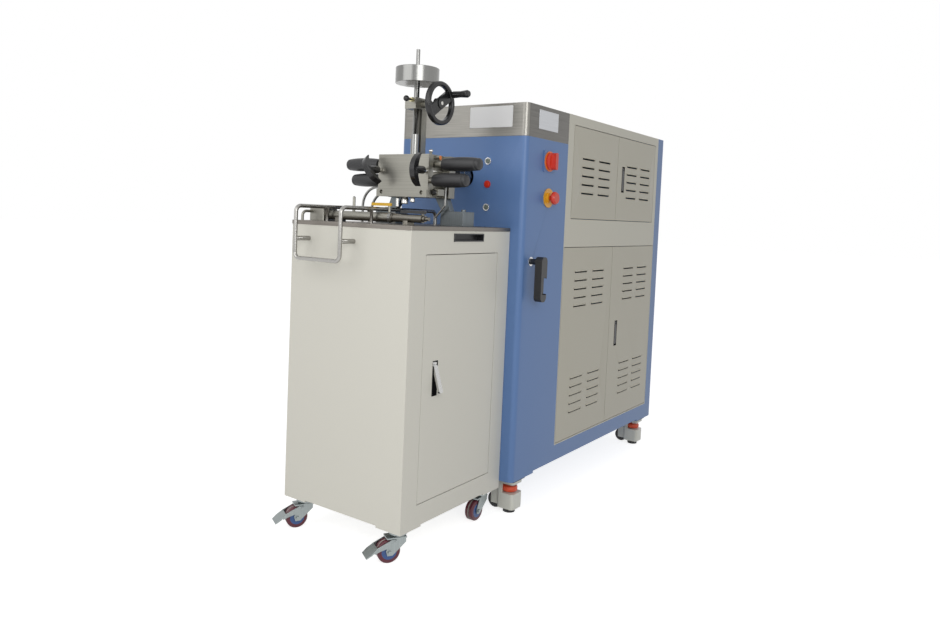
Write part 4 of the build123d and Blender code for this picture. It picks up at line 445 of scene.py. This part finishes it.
def grip_skin(side, place, rings=72, turns=48):
    """Points and faces of one grip. The radius along its length is a base of 0.74 plus 0.26 of
    the half sine raised to 0.55, less a narrow bell shaped groove at nine tenths, and the last
    rings close in on a quarter circle."""
    start, end, y, z = place
    along = np.linspace(0.0, 1.0, rings)
    swell = 0.74 + 0.26 * np.sin(np.pi * np.clip(along, 0.02, 0.98)) ** 0.55
    groove = 0.06 * np.exp(-((along - 0.9) / 0.008) ** 2)
    round_end = np.sqrt(np.clip(1.0 - np.clip((along - 0.965) / 0.035, 0.0, 0.995) ** 2, 0.0, 1.0))
    neck = np.clip(0.8 + along / 0.05, 0.0, 1.0)
    radius = GRIP_RADIUS * (swell - groove) * (0.35 + 0.65 * round_end) * neck
    angle = np.linspace(0.0, 2 * np.pi, turns, endpoint=False)
    points = np.empty((rings, turns, 3))
    points[..., 0] = (side * (start + along * (end - start)))[:, None]
    points[..., 1] = y + radius[:, None] * np.cos(angle)
    points[..., 2] = z + radius[:, None] * np.sin(side * angle)
    ring, turn = np.meshgrid(np.arange(rings - 1), np.arange(turns), indexing="ij")
    after = (turn + 1) % turns
    quads = np.stack([ring * turns + turn, ring * turns + after, (ring + 1) * turns + after,
                      (ring + 1) * turns + turn], axis=-1).reshape(-1, 4)
    caps = [list(range(turns))[::-1], [(rings - 1) * turns + turn for turn in range(turns)]]
    return points.reshape(-1, 3), quads, caps


def grips(node, places):
    """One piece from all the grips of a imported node, riding with its body."""
    points, faces, count = [], [], 0
    for side, place in places:
        skin, quads, caps = grip_skin(side, place)
        points.append(skin)
        faces += (quads + count).tolist() + [[corner + count for corner in cap] for cap in caps]
        count += len(skin)
    mesh = bpy.data.meshes.new(node + "_rubber")
    mesh.from_pydata(np.concatenate(points).tolist(), [], faces)
    bm = bmesh.new()
    bm.from_mesh(mesh)
    bmesh.ops.recalc_face_normals(bm, faces=bm.faces)
    bm.to_mesh(mesh)
    bm.free()
    mesh.shade_smooth()
    mesh.set_sharp_from_angle(angle=math.radians(50))
    piece = bpy.data.objects.new(node + "_rubber", mesh)
    bpy.context.scene.collection.objects.link(piece)
    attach(piece, frame["nodes"][node]["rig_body"])
    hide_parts(node)
    mesh.materials.append(grip_rubber)


grips("chamber_grips", ((-1, UPPER_GRIP), (1, UPPER_GRIP), (-1, CHAMBER_LOWER_GRIP)))
grips("front_grip", ((1, PLATE_LOWER_GRIP),))

# The ram: a bright turned rod with a rack and its weight, the column and head that guide
# it, a moulded handwheel on a bright shaft, and the braided hoses and the cable.

finished(copied("ram_column", 0.0008), ground_steel)
braid = brushed("steel braid", (0.30, 0.30, 0.29), "Y", rough=0.4, contrast=0.35)
finished(copied("ram_rod", 0.0), turned_steel)
SHAFT_PLACE = (-0.21025, 1.231)
SHAFT_REACH = 0.0056
HUB_START_X = 0.0605
KNOB_NUT_Y = -0.2625
wheel = finished(copied("handwheel", 0.0008), gloss_black)
finished(wheel, bright_nut, lambda x, y, z: (np.hypot(y - SHAFT_PLACE[0], z - SHAFT_PLACE[1]) < SHAFT_REACH)
         | (x < HUB_START_X))
finished(copied("crank_grip", 0.0006), gloss_black)
knob = finished(copied("lock_knob", 0.0), gloss_black)
brass = brushed("brass nut", (0.55, 0.50, 0.28), "Y", rough=0.3, contrast=0.05)
finished(knob, brass, lambda x, y, z: y > KNOB_NUT_Y)
finished(copied("hoses", 0.0), braid)

# The room: a pale floor that keeps the object's shadow, a white surround that camera,
# metal and glass see, and two soft lamps.

FLOOR_REACH = 30.0
FLOOR_GLOW = 0.80


def seen_by(tree, *rays):
    """A socket that is 1 for the named kinds of ray and 0 for the rest."""
    path = tree.nodes.new("ShaderNodeLightPath")
    found = path.outputs[rays[0]]
    for ray in rays[1:]:
        either = tree.nodes.new("ShaderNodeMath")
        either.operation = "MAXIMUM"
        tree.links.new(found, either.inputs[0])
        tree.links.new(path.outputs[ray], either.inputs[1])
        found = either.outputs["Value"]
    return found


floor_mesh = bpy.data.meshes.new("floor")
corners = [(-FLOOR_REACH, -FLOOR_REACH, 0), (FLOOR_REACH, -FLOOR_REACH, 0),
           (FLOOR_REACH, FLOOR_REACH, 0), (-FLOOR_REACH, FLOOR_REACH, 0)]
floor_mesh.from_pydata(corners, [], [(0, 1, 2, 3)])
floor = bpy.data.objects.new("floor", floor_mesh)
bpy.context.scene.collection.objects.link(floor)
pale = bpy.data.materials.new("pale floor")
pale.use_nodes = True
tree = pale.node_tree
ground = tree.nodes["Principled BSDF"]
ground.inputs["Base Color"].default_value = (0.62, 0.62, 0.62, 1.0)
ground.inputs["Roughness"].default_value = 0.9
ground.inputs["Specular IOR Level"].default_value = 0.0
glow = tree.nodes.new("ShaderNodeEmission")
gain = tree.nodes.new("ShaderNodeMath")
gain.operation = "MULTIPLY"
gain.inputs[1].default_value = FLOOR_GLOW
both = tree.nodes.new("ShaderNodeAddShader")
tree.links.new(seen_by(tree, "Is Camera Ray", "Is Glossy Ray"), gain.inputs[0])
tree.links.new(gain.outputs["Value"], glow.inputs["Strength"])
tree.links.new(ground.outputs["BSDF"], both.inputs[0])
tree.links.new(glow.outputs["Emission"], both.inputs[1])
tree.links.new(both.outputs["Shader"], tree.nodes["Material Output"].inputs["Surface"])
floor_mesh.materials.append(pale)

world = bpy.data.worlds.new("room")
bpy.context.scene.world = world
world.use_nodes = True
tree = world.node_tree
lit = tree.nodes["Background"]
lit.inputs["Color"].default_value = (1.0, 1.0, 1.0, 1.0)
lit.inputs["Strength"].default_value = 0.42
seen = tree.nodes.new("ShaderNodeBackground")
seen.inputs["Color"].default_value = (1.0, 1.0, 1.0, 1.0)
seen.inputs["Strength"].default_value = 1.0
blend = tree.nodes.new("ShaderNodeMixShader")
rays = seen_by(tree, "Is Camera Ray", "Is Glossy Ray", "Is Transmission Ray")
tree.links.new(rays, blend.inputs["Fac"])
tree.links.new(lit.outputs["Background"], blend.inputs[1])
tree.links.new(seen.outputs["Background"], blend.inputs[2])
tree.links.new(blend.outputs["Shader"], tree.nodes["World Output"].inputs["Surface"])


def softbox(name, place, aim, size, power):
    """A square lamp at a place, facing a point."""
    lamp = bpy.data.lights.new(name, "AREA")
    lamp.size = size
    lamp.energy = power
    holder = bpy.data.objects.new(name, lamp)
    bpy.context.scene.collection.objects.link(holder)
    turn = (Vector(aim) - Vector(place)).to_track_quat("-Z", "Y")
    holder.matrix_world = Matrix.Translation(place) @ turn.to_matrix().to_4x4()


softbox("key", (-0.8, -3.4, 2.4), (0.0, -0.2, 0.8), 3.2, 45.0)
softbox("fill", (1.9, -1.7, 1.5), (0.2, -0.2, 0.6), 1.2, 19.0)

# The camera: at the photograph's place, worked out from the cabinet's corners.

SENSOR = 36.0
PICTURE = (940.0, 625.0)
FOCAL = 762.57
CENTRE = (470.08, 252.89)
YAW, PITCH, ROLL = (math.radians(angle) for angle in (34.828, 2.802, -2.423))
STAND = Vector((1.4105, -1.9502, 0.9154))

ahead = Vector((-math.sin(YAW) * math.cos(PITCH), math.cos(YAW) * math.cos(PITCH), -math.sin(PITCH)))
level = Vector((math.cos(YAW), math.sin(YAW), 0.0))
down = ahead.cross(level)
right = math.cos(ROLL) * level + math.sin(ROLL) * down
below = -math.sin(ROLL) * level + math.cos(ROLL) * down
lens = bpy.data.cameras.new("camera")
lens.sensor_width = SENSOR
lens.lens = FOCAL * SENSOR / PICTURE[0]
lens.shift_x = -(CENTRE[0] - PICTURE[0] / 2) / PICTURE[0]
lens.shift_y = (CENTRE[1] - PICTURE[1] / 2) / PICTURE[0]
lens.clip_end = 200.0
camera = bpy.data.objects.new("camera", lens)
bpy.context.scene.collection.objects.link(camera)
camera.matrix_world = Matrix((
    (right.x, -below.x, -ahead.x, STAND.x),
    (right.y, -below.y, -ahead.y, STAND.y),
    (right.z, -below.z, -ahead.z, STAND.z),
    (0.0, 0.0, 0.0, 1.0)))
bpy.context.scene.camera = camera
bpy.context.scene.view_settings.view_transform = "Standard"
